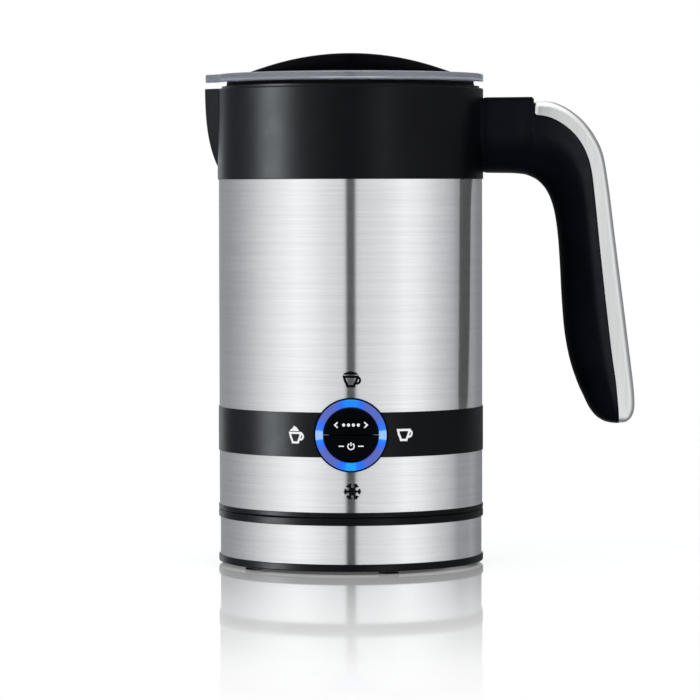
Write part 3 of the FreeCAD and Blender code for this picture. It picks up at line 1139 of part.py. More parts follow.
def main():
    make_base_bottom()
    make_base_top()
    make_base_coupler()
    make_cord_inlet()
    make_jug_floor()
    make_jug_coupler()
    make_shell()
    make_collar()
    make_handle()
    make_pot()
    make_heater()
    make_chassis()
    make_motor()
    make_drive()
    make_power_board()
    make_bezel_and_glow()
    make_button("function", 1)
    make_button("power", -1)
    make_control_board()
    make_lid()
    make_whisk()
    os.makedirs("parts", exist_ok=True)
    for name, shape in PARTS.items():
        shape.exportStep(f"parts/{name}.step")
        print(f"{name:20s} solids {len(shape.Solids)}  volume {shape.Volume:9.1f}  valid {shape.isValid()}")


main()
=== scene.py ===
import json
import math

import bpy
from mathutils import Matrix, Vector

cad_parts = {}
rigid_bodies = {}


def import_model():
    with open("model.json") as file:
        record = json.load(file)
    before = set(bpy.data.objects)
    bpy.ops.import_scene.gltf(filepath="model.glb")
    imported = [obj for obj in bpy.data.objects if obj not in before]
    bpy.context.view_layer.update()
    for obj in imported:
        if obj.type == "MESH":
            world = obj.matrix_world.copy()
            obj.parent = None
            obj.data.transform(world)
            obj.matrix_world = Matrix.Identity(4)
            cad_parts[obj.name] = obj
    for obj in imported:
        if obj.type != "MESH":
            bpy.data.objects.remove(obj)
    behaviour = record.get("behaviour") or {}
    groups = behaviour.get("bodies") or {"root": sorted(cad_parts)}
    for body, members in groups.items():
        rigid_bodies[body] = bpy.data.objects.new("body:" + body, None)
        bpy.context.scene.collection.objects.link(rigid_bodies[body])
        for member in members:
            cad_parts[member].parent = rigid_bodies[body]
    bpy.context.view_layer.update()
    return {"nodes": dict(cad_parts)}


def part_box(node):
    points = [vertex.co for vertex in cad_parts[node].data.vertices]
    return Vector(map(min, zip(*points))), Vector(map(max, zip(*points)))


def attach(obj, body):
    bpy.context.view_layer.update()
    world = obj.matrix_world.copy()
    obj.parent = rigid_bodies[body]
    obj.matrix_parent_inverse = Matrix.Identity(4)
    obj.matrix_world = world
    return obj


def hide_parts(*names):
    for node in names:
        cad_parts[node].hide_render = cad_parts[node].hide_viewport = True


# Cordless milk frother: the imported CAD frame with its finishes, and the pieces that need finer
# shapes than the CAD gives: the handle, the lid's grip, the whisk's spring and the printed symbols.

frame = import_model()
MM = 0.001

# ---------------------------------------------------------------- places, from the frame
SLEEVE_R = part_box("upper_sleeve")[1].y
BAND_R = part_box("control_band")[1].y
BUTTON_FACE_R = -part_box("power_button")[0].y
COLLAR_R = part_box("collar")[1].y
COLLAR_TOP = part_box("collar")[1].z - 0.8 * MM
GLOW_LOW, GLOW_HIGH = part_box("light_ring")
Z_BUTTONS = (GLOW_LOW.z + GLOW_HIGH.z) / 2
PLATE_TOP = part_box("lid_plate")[1].z
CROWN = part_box("lid_grip")[1].z


# ---------------------------------------------------------------- materials
class Finish:
    """A node material round one Principled shader, in object coordinates."""

    def __init__(self, name, **values):
        self.material = bpy.data.materials.new(name)
        self.material.use_nodes = True
        self.tree = self.material.node_tree
        self.tree.nodes.clear()
        self.shader = self.add("ShaderNodeBsdfPrincipled")
        output = self.add("ShaderNodeOutputMaterial")
        self.link(self.shader.outputs[0], output.inputs["Surface"])
        for key, value in values.items():
            self.shader.inputs[key.replace("_", " ")].default_value = value
        self.place = self.add("ShaderNodeTexCoord").outputs["Object"]

    def add(self, kind, **settings):
        node = self.tree.nodes.new(kind)
        for key, value in settings.items():
            setattr(node, key, value)
        return node

    def link(self, source, target):
        self.tree.links.new(source, target)

    def math(self, operation, *values):
        node = self.add("ShaderNodeMath", operation=operation)
        for socket, value in zip(node.inputs, values):
            if isinstance(value, (int, float)):
                socket.default_value = value
            else:
                self.link(value, socket)
        return node.outputs[0]

    def noise(self, scale, detail=3.0, roughness=0.55):
        """Noise whose grain is finer along the axes with a larger scale."""
        mapping = self.add("ShaderNodeMapping")
        mapping.inputs["Scale"].default_value = scale
        self.link(self.place, mapping.inputs["Vector"])
        noise = self.add("ShaderNodeTexNoise")
        noise.inputs["Scale"].default_value = 1.0
        noise.inputs["Detail"].default_value = detail
        noise.inputs["Roughness"].default_value = roughness
        self.link(mapping.outputs[0], noise.inputs["Vector"])
        return noise.outputs["Fac"]

    def ramp(self, factor, stops):
        """A colour for each value of the factor."""
        node = self.add("ShaderNodeValToRGB")
        elements = node.color_ramp.elements
        while len(elements) < len(stops):
            elements.new(1.0)
        for element, (position, colour) in zip(elements, stops):
            element.position = position
            element.color = (*colour, 1.0)
        self.link(factor, node.inputs[0])
        return node.outputs[0]

    def colour(self, factor, dark, light, low=0.3, high=0.7):
        self.link(self.ramp(factor, [(low, dark), (high, light)]), self.shader.inputs["Base Color"])
        return self

    def rough(self, factor, smooth, rough):
        node = self.add("ShaderNodeMapRange")
        node.inputs["From Min"].default_value = 0.3
        node.inputs["From Max"].default_value = 0.7
        node.inputs["To Min"].default_value = smooth
        node.inputs["To Max"].default_value = rough
        self.link(factor, node.inputs["Value"])
        self.link(node.outputs[0], self.shader.inputs["Roughness"])
        return self

    def bump(self, factor, strength, depth):
        node = self.add("ShaderNodeBump")
        node.inputs["Strength"].default_value = strength
        node.inputs["Distance"].default_value = depth
        self.link(factor, node.inputs["Height"])
        self.link(node.outputs[0], self.shader.inputs["Normal"])
        return self


def moulded(name, dark, light, smooth, rough, grain=2600.0, depth=0.02 * MM, **values):
    """Moulded plastic or rubber: slight tone and gloss variation over a fine spark-eroded grain."""
    finish = Finish(name, **values)
    finish.colour(finish.noise((60, 60, 60)), dark, light)
    finish.rough(finish.noise((180, 180, 180), 4.0), smooth, rough)
    return finish.bump(finish.noise((grain, grain, grain), 2.0), 0.25, depth)


def brushed(name, dark, light, smooth, rough, streak, anisotropy=0.75, rotation=0.25, **values):
    """Brushed metal whose marks run along the axes with a small streak scale."""
    finish = Finish(name, **{"Metallic": 1.0, **values})
    fine = finish.noise(streak, 4.0, 0.65)
    broad = finish.noise(tuple(0.22 * s for s in streak), 2.0)
    mixed = finish.math("ADD", finish.math("MULTIPLY", fine, 0.7), finish.math("MULTIPLY", broad, 0.3))
    finish.colour(mixed, dark, light, 0.36, 0.64)
    finish.rough(fine, smooth, rough)
    finish.shader.inputs["Anisotropic"].default_value = anisotropy
    finish.shader.inputs["Anisotropic Rotation"].default_value = rotation
    tangent = finish.add("ShaderNodeTangent", direction_type="RADIAL", axis="Z")
    finish.link(tangent.outputs[0], finish.shader.inputs["Tangent"])
    return finish.bump(fine, 0.06, 0.02 * MM)


def grey(value, tint=0.0):
    return (value * (1 - tint), value, value * (1 + tint))


def glow_finish():
    """The light ring: bright where a lamp sits behind it, and a dull violet-blue between the lamps."""
    finish = Finish("glow", Roughness=0.25)
    axes = finish.add("ShaderNodeSeparateXYZ")
    finish.link(finish.place, axes.inputs[0])
    height = finish.math("SUBTRACT", axes.outputs["Z"], Z_BUTTONS)
    angle = finish.math("ARCTAN2", height, axes.outputs["X"])
    turn = finish.math("ADD", finish.math("DIVIDE", angle, 2 * math.pi), 0.5)
    between, bright, edge = (0.075, 0.105, 0.43), (0.0, 0.19, 1.0), (0.0, 0.13, 0.85)
    side, under, over = (0.30, 0.55, 1.0), (0.0, 0.36, 1.0), (0.0, 0.24, 1.0)
    stops = [
        (0.0, side), (0.021, side), (0.024, bright), (0.055, edge), (0.085, between), (0.165, between),
        (0.195, edge), (0.222, bright), (0.225, under), (0.272, under), (0.275, bright), (0.305, edge),
        (0.335, between), (0.415, between), (0.445, edge), (0.476, bright), (0.479, side), (0.521, side),
        (0.524, bright), (0.555, edge), (0.585, between), (0.665, between), (0.70, edge), (0.73, over),
        (0.77, over), (0.80, edge), (0.835, between), (0.915, between), (0.945, edge), (0.976, bright),
        (0.979, side), (1.0, side),
    ]
    glow = finish.ramp(turn, stops)
    grain = finish.noise((900, 900, 900), 2.0)
    finish.link(glow, finish.shader.inputs["Emission Color"])
    finish.link(finish.ramp(grain, [(0.3, (0.0, 0.015, 0.09)), (0.7, (0.0, 0.02, 0.12))]),
                finish.shader.inputs["Base Color"])
    finish.shader.inputs["Emission Strength"].default_value = 0.92
    return finish


def make_finishes():
    """One finish for each material slot of the record, and those of the added pieces."""
    black, soft_black = (0.0005, 0.0007, 0.0012), (0.0010, 0.0013, 0.0022)
    return {
        "black_plastic": moulded("satin_black", black, soft_black, 0.34, 0.40, Specular_IOR_Level=0.08),
        "grip_plastic": moulded("grip_black", (0.0003, 0.0004, 0.0009), (0.0007, 0.0009, 0.0018), 0.36, 0.42,
                                Specular_IOR_Level=0.012),
        "shell_steel": brushed("brushed_steel", grey(0.62, 0.016), grey(0.70, 0.010), 0.11, 0.16,
                               (26.0, 26.0, 2600.0), anisotropy=0.95, Metallic=0.86),
        "trim_metal": brushed("satin_trim", grey(0.58, 0.006), grey(0.66, 0.003), 0.26, 0.34,
                              (1500.0, 1500.0, 40.0), anisotropy=0.3, rotation=0.0),
        "clear_plastic": clear_finish(),
        "lid_black": moulded("polished_black", (0.0015, 0.0016, 0.0022), (0.0025, 0.0027, 0.0036), 0.10, 0.16,
                             grain=700.0, depth=0.004 * MM, Specular_IOR_Level=0.03),
        "rubber": moulded("rubber", (0.0020, 0.0021, 0.0028), (0.0040, 0.0042, 0.0052), 0.62, 0.75,
                          Specular_IOR_Level=0.08),
        "button_plastic": moulded("button_black", (0.0008, 0.0010, 0.0018), (0.0014, 0.0017, 0.0028), 0.30,
                                  0.38, Specular_IOR_Level=0.02),
        "glow_blue": glow_finish(),
        "pot_coating": pot_finish(),
        "plain_steel": brushed("plain_steel", grey(0.50), grey(0.62), 0.25, 0.4,
                               (900.0, 900.0, 900.0), 0.0, 0.0),
        "contact_brass": brushed("brass", (0.60, 0.40, 0.14), (0.74, 0.52, 0.20), 0.22, 0.36,
                                 (500.0, 500.0, 1800.0), 0.2, 0.0),
        "natural_plastic": moulded("natural_plastic", (0.62, 0.61, 0.57), (0.70, 0.69, 0.65), 0.4, 0.5),
        "heater_metal": brushed("cast_aluminium", grey(0.42), grey(0.55), 0.42, 0.6,
                                (400.0, 400.0, 400.0), 0.0, 0.0),
        "board_green": moulded("circuit_board", (0.012, 0.085, 0.035), (0.020, 0.12, 0.05), 0.3, 0.42,
                               grain=900.0),
        "component_black": moulded("component_black", grey(0.012), grey(0.022), 0.4, 0.55),
        "motor_steel": brushed("plated_steel", grey(0.45, 0.01), grey(0.58, 0.01), 0.3, 0.42,
                               (60.0, 60.0, 1600.0), 0.3, 0.25),
        "magnet": brushed("plated_magnet", grey(0.36), grey(0.48), 0.2, 0.32,
                          (600.0, 600.0, 600.0), 0.0, 0.0),
        "whisk_plastic": moulded("whisk_black", (0.010, 0.010, 0.012), (0.016, 0.016, 0.019), 0.32, 0.42),
        "spring_steel": brushed("spring_steel", grey(0.55), grey(0.68), 0.18, 0.28,
                                (1200.0, 1200.0, 1200.0), 0.0, 0.0),
        "print_black": moulded("print_black", (0.001, 0.001, 0.0015), (0.002, 0.002, 0.003), 0.5, 0.6,
                               Specular_IOR_Level=0.05),
        "print_white": moulded("print_white", (0.80, 0.80, 0.81), (0.88, 0.88, 0.89), 0.5, 0.6),
    }


def clear_finish():
    """Cool-tinted plastic, mostly clear and a little milky, with a slightly uneven polish."""
    finish = Finish("clear_plastic", Transmission_Weight=0.74, IOR=1.49)
    finish.colour(finish.noise((40, 40, 40)), (0.50, 0.55, 0.63), (0.55, 0.60, 0.67))
    return finish.rough(finish.noise((60, 60, 60)), 0.06, 0.10)


def pot_finish():
    """Dark non-stick coating with fine pale flecks."""
    finish = Finish("non_stick")
    ground, fleck = (0.018, 0.018, 0.02), (0.10, 0.10, 0.11)
    flecks = finish.ramp(finish.noise((1500, 1500, 1500), 2.0), [(0.66, ground), (0.72, fleck)])
    finish.link(flecks, finish.shader.inputs["Base Color"])
    finish.rough(finish.noise((300, 300, 300)), 0.32, 0.45)
    return finish.bump(finish.noise((1800, 1800, 1800), 2.0), 0.2, 0.02 * MM)


FINISHES = make_finishes()
for node in frame["nodes"].values():
    for slot in node.material_slots:
        slot.material = FINISHES[slot.material.name.split(".")[0]].material


# ---------------------------------------------------------------- mesh helpers
def piece(name, points, faces, finish, body, stands_for="", sharp_deg=32.0):
    """A smooth-shaded mesh piece that rides on a body, with hard edges kept where it turns sharply."""
    mesh = bpy.data.meshes.new(name)
    mesh.from_pydata(points, [], faces)
    mesh.validate()
    mesh.polygons.foreach_set("use_smooth", [True] * len(mesh.polygons))
    mesh.set_sharp_from_angle(angle=math.radians(sharp_deg))
    mesh.materials.append(FINISHES[finish].material)
    made = bpy.data.objects.new(name, mesh)
    bpy.context.scene.collection.objects.link(made)
    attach(made, body)
    if stands_for:
        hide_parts(stands_for)
    return made


def skin(rings, caps=True):
    """Points and faces of a tube through closed rings of equally many points."""
    count = len(rings[0])
    points = [tuple(p) for ring in rings for p in ring]
    faces = []
    for i in range(len(rings) - 1):
        for j in range(count):
            a, b = i * count + j, i * count + (j + 1) % count
            faces.append((a, b, b + count, a + count))
    if caps:
        faces.append(tuple(range(count))[::-1])
        faces.append(tuple(range((len(rings) - 1) * count, len(rings) * count)))
    return points, faces


def smooth_line(controls, steps):
    """Points on a smooth curve through the controls, each a tuple of numbers (a Catmull-Rom spline)."""
    rows = [controls[0]] + list(controls) + [controls[-1]]
    line = []
    for i in range(1, len(rows) - 2):
        for step in range(steps):
            t = step / steps
            spans = zip(rows[i - 1], rows[i], rows[i + 1], rows[i + 2])
            line.append(tuple(
                0.5 * (2 * b + (c - a) * t + (2 * a - 5 * b + 4 * c - d) * t * t
                       + (3 * b - a - 3 * c + d) * t ** 3)
                for a, b, c, d in spans))
    return line + [tuple(controls[-1])]


# ---------------------------------------------------------------- handle
# Stations of the handle in side view, in millimetres. Points are pairs: distance out from the collar and
# drop below its top. The arm's rows hold its inner point, outer point, half width, taper of its sides and
# outer edge rounding. The grip's rows hold its inner point, seam, outer point and half width.
ARM = (
    (-2.1, 31.9, -2.1, 3.5, 12.0, 1.5, 2.4),
    (5.5, 32.0, 5.5, 3.45, 12.0, 1.5, 2.4),
    (11.4, 32.1, 12.0, 3.4, 12.0, 1.5, 2.4),
    (15.4, 32.5, 16.6, 3.35, 11.9, 1.5, 2.4),
    (17.2, 33.0, 18.1, 3.35, 11.9, 1.5, 2.4),
)
STEP_TOP = (17.6, 33.15, 18.85, 4.05)
GRIP = (
    (17.7, 33.2, 18.95, 10.15, 18.95, 4.85, 11.9),
    (19.8, 34.2, 24.0, 11.0, 25.9, 5.2, 11.8),
    (21.75, 35.75, 28.6, 13.4, 32.2, 8.0, 11.7),
    (23.8, 38.2, 32.25, 16.9, 37.95, 12.7, 11.6),
    (25.5, 41.6, 35.35, 21.9, 42.3, 18.6, 11.5),
    (27.05, 46.8, 37.65, 28.8, 45.3, 25.6, 11.4),
    (28.3, 55.2, 40.05, 41.2, 47.5, 38.6, 11.3),
    (29.1, 66.2, 41.9, 54.6, 49.25, 52.6, 11.2),
    (29.8, 79.5, 43.95, 69.6, 51.15, 67.6, 11.1),
    (30.95, 92.7, 46.2, 85.6, 53.2, 83.6, 11.1),
    (33.05, 103.4, 48.0, 99.4, 55.0, 98.0, 11.0),
    (35.8, 111.6, 49.6, 110.4, 56.5, 110.0, 11.0),
    (38.05, 116.6, 50.25, 116.8, 57.15, 116.8, 10.9),
    (40.1, 120.8, 50.7, 121.3, 57.15, 121.6, 10.5),
    (42.65, 124.2, 50.9, 124.4, 56.1, 124.6, 9.6),
    (45.6, 126.2, 51.0, 126.3, 54.3, 126.3, 7.6),
    (48.1, 126.9, 51.1, 126.95, 52.5, 126.95, 4.8),
)
STEP_HALF_W, STEP_EDGE_R, STEP_RISE = 11.9, 2.0, 0.7
TAPER, EDGE_R, TRIM_T, TRIM_GAP = 1.5, 4.6, 1.2, 0.12
ARM_SEAM = 0.78              # where the arm's section turns into its outer edge, as a share of its depth
ARM_RISE = 1.35              # the arm's sides are shaped as if its section were this much shallower
GROOVE_DEPTH = 0.45          # narrow groove round the arm where it leaves the collar
GROOVE_OUT, GROOVE_HALF_W = 0.05, 0.75
HUG_REACH = 9.0              # how far out the arm's section still follows the collar's roundness
END_SOFT = (0.45, 0.12, 0.0)   # how much the trim is drawn in at its first and last rings
EDGE_FLATNESS = 0.58         # depth of the outer edges' rounding, as a share of its width
SIDE_STEPS, CORNER_STEPS = 20, 6


def at_side(out, drop, v=0.0):
    """A point of the handle, in metres."""
    return Vector((COLLAR_R + out * MM, v * MM, COLLAR_TOP - drop * MM))


def side_width(u, depth, half_w, taper):
    """The handle's half width at a distance from its inner edge."""
    belly = depth * 0.55
    if u < belly:
        return half_w * math.sqrt(max(0.0, 1 - (1 - u / belly) ** 2))
    return half_w - taper * min(1.0, (u - belly) / (depth - belly))


def side_profile(low_u, high_u, depth, half_w, taper):
    """(u, v) points along one side of a section, from its inner edge to its seam."""
    profile = []
    for i in range(SIDE_STEPS + 1):
        t = i / SIDE_STEPS
        u = low_u + (high_u - low_u) * (t * t * (1.6 - 0.6 * t))
        profile.append((u, side_width(u, depth, half_w, taper)))
    return profile


def outer_profile(start_u, depth, half_w, taper, edge_r):
    """(u, v) points of one side from the seam round the outer edge to the middle of the outer face."""
    edge_r = min(edge_r, (depth - start_u) * 0.8, (half_w - taper) * 0.6)
    edge_r = max(edge_r, 0.05)
    edge_u = edge_r * EDGE_FLATNESS
    face_v = half_w - taper
    profile = [(start_u, side_width(start_u, depth, half_w, taper))]
    for i in range(CORNER_STEPS + 1):
        turn = math.pi / 2 * i / CORNER_STEPS
        u = depth - edge_u + edge_u * math.sin(turn)
        profile.append((u, face_v - edge_r + edge_r * math.cos(turn)))
    profile += [(depth, face_v * share) for share in (0.45, 0.2)]
    return profile


def placed_ring(profile, inner, outer, hug=0.0):
    """A whole ring from the (u, v) points of its one side, with the other side mirrored."""
    along = (outer - inner).normalized()
    ring = [inner + along * (u * MM) + Vector((0, -v * MM, 0)) for u, v in profile]
    ring += [inner + along * (u * MM) + Vector((0, v * MM, 0)) for u, v in reversed(profile) if v > 0.001]
    for p in ring:
        p.x -= hug * (COLLAR_R - math.sqrt(COLLAR_R ** 2 - p.y ** 2))
    return ring


def make_handle():
    grip_rings = []
    for row in smooth_line(ARM, 6):
        inner, outer = at_side(row[0], row[1]), at_side(row[2], row[3])
        depth = (outer - inner).length / MM
        half_w, taper, edge_r = row[4:]
        hug = max(0.0, 1.0 - max(0.0, row[0]) / HUG_REACH)
        groove = GROOVE_DEPTH * max(0.0, 1.0 - abs(row[0] - GROOVE_OUT) / GROOVE_HALF_W)
        profile = side_profile(groove, depth * ARM_SEAM, depth - ARM_RISE, half_w - groove, taper)
        profile += outer_profile(depth * ARM_SEAM, depth - groove, half_w - groove, taper, edge_r)[1:]
        grip_rings.append(placed_ring(profile, inner, outer, hug))
    inner, outer = at_side(*STEP_TOP[:2]), at_side(*STEP_TOP[2:])
    depth = (outer - inner).length / MM
    profile = side_profile(0.0, depth * ARM_SEAM, depth - STEP_RISE, STEP_HALF_W, TAPER)
    profile += outer_profile(depth * ARM_SEAM, depth, STEP_HALF_W, TAPER, STEP_EDGE_R)[1:]
    grip_rings.append(placed_ring(profile, inner, outer))

    trim_rings = []
    rows = smooth_line(GRIP, 8)
    for i, row in enumerate(rows):
        inner, seam, outer = at_side(*row[0:2]), at_side(*row[2:4]), at_side(*row[4:6])
        depth = (outer - inner).length / MM
        along = (outer - inner).normalized()
        seam_u = (seam - inner).dot(along) / MM
        half_w = row[6]
        taper = TAPER * min(1.0, half_w / 10.0)
        edge_r = EDGE_R * min(1.0, half_w / 9.0)
        profile = side_profile(0.0, seam_u, depth, half_w, taper)
        sunk = TRIM_T + TRIM_GAP
        for u, v in outer_profile(seam_u, depth, half_w, taper, edge_r)[1:]:
            deep = max(seam_u, min(u, depth - sunk))
            profile.append((deep, max(0.4, min(v, half_w - taper) - sunk)))
        grip_rings.append(placed_ring(profile, inner, outer))
        if i < 1:
            continue
        ends = min(i, len(rows) - 1 - i)
        soft = END_SOFT[min(ends - 1, 2)] if ends > 0 else END_SOFT[0]
        shell = outer_profile(seam_u + TRIM_GAP, depth - soft, half_w - soft * 0.6, taper, edge_r)
        inside = [(min(u, depth - TRIM_T), max(0.2, v - TRIM_T)) for u, v in shell]
        along_ring = placed_ring(shell, inner, outer)
        inside_ring = placed_ring(inside, inner, outer)
        trim_rings.append(along_ring + inside_ring[::-1])
    piece("handle_grip_moulding", *skin(grip_rings), "grip_plastic", "jug", "handle_grip", 40.0)
    piece("handle_trim_cover", *skin(trim_rings), "trim_metal", "jug", "handle_trim", 40.0)


# ---------------------------------------------------------------- lid grip
LID_SLICES = 96
LID_SUNK = 1.3 * MM          # the grip's foot inside the plate
LID_EDGE_R = 1.1 * MM
LID_CROWN = 0.25 * MM        # extra height along the middle of the top


def make_lid_grip():
    """A lens-shaped arch across the lid, seen from above, with rounded long edges."""
    half_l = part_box("lid_grip")[1].x
    half_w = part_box("lid_grip")[1].y
    rise = CROWN - PLATE_TOP
    arch_r = (half_l ** 2 + rise ** 2) / (2 * rise)
    leaf_r = (half_l ** 2 + half_w ** 2) / (2 * half_w)
    rings = []
    for i in range(1, LID_SLICES):
        x = -half_l * math.cos(math.pi * i / LID_SLICES)
        top = math.sqrt(arch_r ** 2 - x * x) - (arch_r - rise)
        wide = math.sqrt(leaf_r ** 2 - x * x) - (leaf_r - half_w)
        soft = min(LID_EDGE_R, top * 0.6, wide * 0.6)
        foot = max(0.0, wide - LID_EDGE_R)
        crown_lift = LID_CROWN * min(1.0, top / (3 * MM))
        profile = [(foot, -LID_SUNK), (foot, 0.0), (wide - 0.25 * soft, 0.0), (wide, 0.25 * soft)]
        for k in range(7):
            turn = math.pi / 2 * k / 6
            profile.append((wide - soft + soft * math.cos(turn), top - soft + soft * math.sin(turn)))
        profile += [(share * (wide - soft), top + crown_lift * (1 - share ** 2))
                    for share in (0.8, 0.6, 0.4, 0.2, 0.0)]
        ring = [Vector((x, -y, PLATE_TOP + z - (crown_lift if z > soft else 0))) for y, z in profile]
        ring += [Vector((p.x, -p.y, p.z)) for p in reversed(ring[:-1])]
        rings.append(ring)
    piece("lid_grip_arch", *skin(rings), "lid_black", "lid", "lid_grip", 50.0)


# ---------------------------------------------------------------- whisk spring
def make_spring():
    """The whisk's closed ring of coiled wire, inside the box of the ring that it replaces."""
    low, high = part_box("whisk_coil")
    wire = 0.32 * MM
    loop = (high.z - low.z) / 2 - wire
    centre_r = high.x - (high.z - low.z) / 2
    middle = (low.z + high.z) / 2
    turns, per_turn, around = 58, 16, 8
    count = turns * per_turn

    def on_coil(k):
        along, spin = 2 * math.pi * k / count, 2 * math.pi * k / per_turn
        out = centre_r + loop * math.cos(spin)
        return Vector((out * math.cos(along), out * math.sin(along), middle + loop * math.sin(spin)))

    rings = []
    for k in range(count):
        here, heading = on_coil(k), (on_coil(k + 1) - on_coil(k - 1)).normalized()
        along = 2 * math.pi * k / count
        centre = Vector((centre_r * math.cos(along), centre_r * math.sin(along), middle))
        outward = (here - centre).normalized()
        side = heading.cross(outward).normalized()
        outward = side.cross(heading).normalized()
        rings.append([here + (outward * math.cos(a) + side * math.sin(a)) * wire
                      for a in (2 * math.pi * j / around for j in range(around))])
    points, faces = skin(rings, caps=False)
    last = (count - 1) * around
    faces += [(last + j, last + (j + 1) % around, (j + 1) % around, j) for j in range(around)]
    piece("whisk_spring", points, faces, "spring_steel", "whisk", "whisk_coil", 60.0)


# ---------------------------------------------------------------- printed symbols
INK = 0.01                   # thickness of the printed film, in millimetres


def arc(cx, cy, r, start, end, steps=14):
    """Points of a round stretch from one angle to another, in degrees."""
    return [(cx + r * math.cos(math.radians(start + (end - start) * i / steps)),
             cy + r * math.sin(math.radians(start + (end - start) * i / steps))) for i in range(steps + 1)]


def stroke(line, width, closed=False):
    """Left and right edges of a stroke of even width along a line."""
    count = len(line)
    left, right = [], []
    for i, (x, y) in enumerate(line):
        before = line[i - 1] if i > 0 or closed else line[i]
        after = line[(i + 1) % count] if i < count - 1 or closed else line[i]
        a = Vector((x - before[0], y - before[1]))
        b = Vector((after[0] - x, after[1] - y))
        a = a.normalized() if a.length > 1e-9 else b.normalized()
        b = b.normalized() if b.length > 1e-9 else a
        mean = (a + b).normalized()
        reach = width / 2 / max(0.5, mean.dot(a))
        left.append((x - mean.y * reach, y + mean.x * reach))
        right.append((x + mean.y * reach, y - mean.x * reach))
    return left, right


def fine(line, closed):
    """The same line with no segment longer than 0.7 mm, so that it follows a round wall."""
    ends = line[1:] + line[:1] if closed else line[1:]
    points = []
    for (ax, ay), (bx, by) in zip(line, ends):
        parts = max(1, math.ceil(math.hypot(bx - ax, by - ay) / 0.7))
        points += [(ax + (bx - ax) * i / parts, ay + (by - ay) * i / parts) for i in range(parts)]
    return points if closed else points + [line[-1]]


def slices(outline):
    """Upper and lower points of a filled outline at even steps across it."""
    xs = [p[0] for p in outline]
    width = max(xs) - min(xs)
    count = max(4, math.ceil(width / 0.3))
    upper, lower = [], []
    for i in range(count + 1):
        x = min(xs) + width * (0.002 + 0.996 * i / count)
        cuts = [ay + (by - ay) * (x - ax) / (bx - ax)
                for (ax, ay), (bx, by) in zip(outline, outline[1:] + outline[:1])
                if min(ax, bx) <= x < max(ax, bx)]
        upper.append((x, max(cuts)))
        lower.append((x, min(cuts)))
    return upper, lower


def printed(name, strokes, fills, x, z, radius, finish, body):
    """Symbols printed on a round wall that faces -Y, centred on (x, z), from strokes and filled outlines
    in millimetres."""
    thick = INK * MM
    points, faces = [], []

    def on_wall(p, lift):
        around = math.asin(max(-0.99, min(0.99, x / radius))) + p[0] * MM / radius
        r = radius + lift
        return (r * math.sin(around), -r * math.cos(around), z + p[1] * MM)

    def add_quad_strip(left, right, closed):
        start, count = len(points), len(left)
        for l, r in zip(left, right):
            points.extend([on_wall(l, thick), on_wall(r, thick), on_wall(l, 0), on_wall(r, 0)])
        for i in range(count if closed else count - 1):
            a, b = start + 4 * i, start + 4 * ((i + 1) % count)
            faces.extend([(a, a + 1, b + 1, b), (a, b, b + 2, a + 2), (a + 1, a + 3, b + 3, b + 1)])
        if not closed:
            end = start + 4 * (count - 1)
            faces.extend([(start, start + 2, start + 3, start + 1), (end, end + 1, end + 3, end + 2)])

    for line, width, closed in strokes:
        add_quad_strip(*stroke(fine(line, closed), width, closed), closed)
    for outline in fills:
        add_quad_strip(*slices(outline), False)
    return piece(name, points, faces, finish, body, sharp_deg=50.0)


def cup(width, height, line):
    """A cup in side view, its middle on the origin: the bowl and, on its right, the handle."""
    half, foot = width * 0.41 - line / 2, width * 0.17
    top, low, shift = height / 2 - line / 2, line / 2 - height / 2, -width * 0.09
    left = [(shift - half, top), (shift - half + 0.16 * half, top - 0.42 * (top - low)),
            (shift - half + 0.42 * half, top - 0.80 * (top - low)), (shift - foot, low)]
    right = [(2 * shift - x, y) for x, y in reversed(left)]
    loop = arc(shift + half - 0.25, top - 0.30 * height, 0.27 * height, 80, -105)
    return [(left + right, line, True), (loop, line * 0.92, False)]


def raised(strokes, up):
    """The same strokes, moved up."""
    return [([(x, y + up) for x, y in line], width, closed) for line, width, closed in strokes]


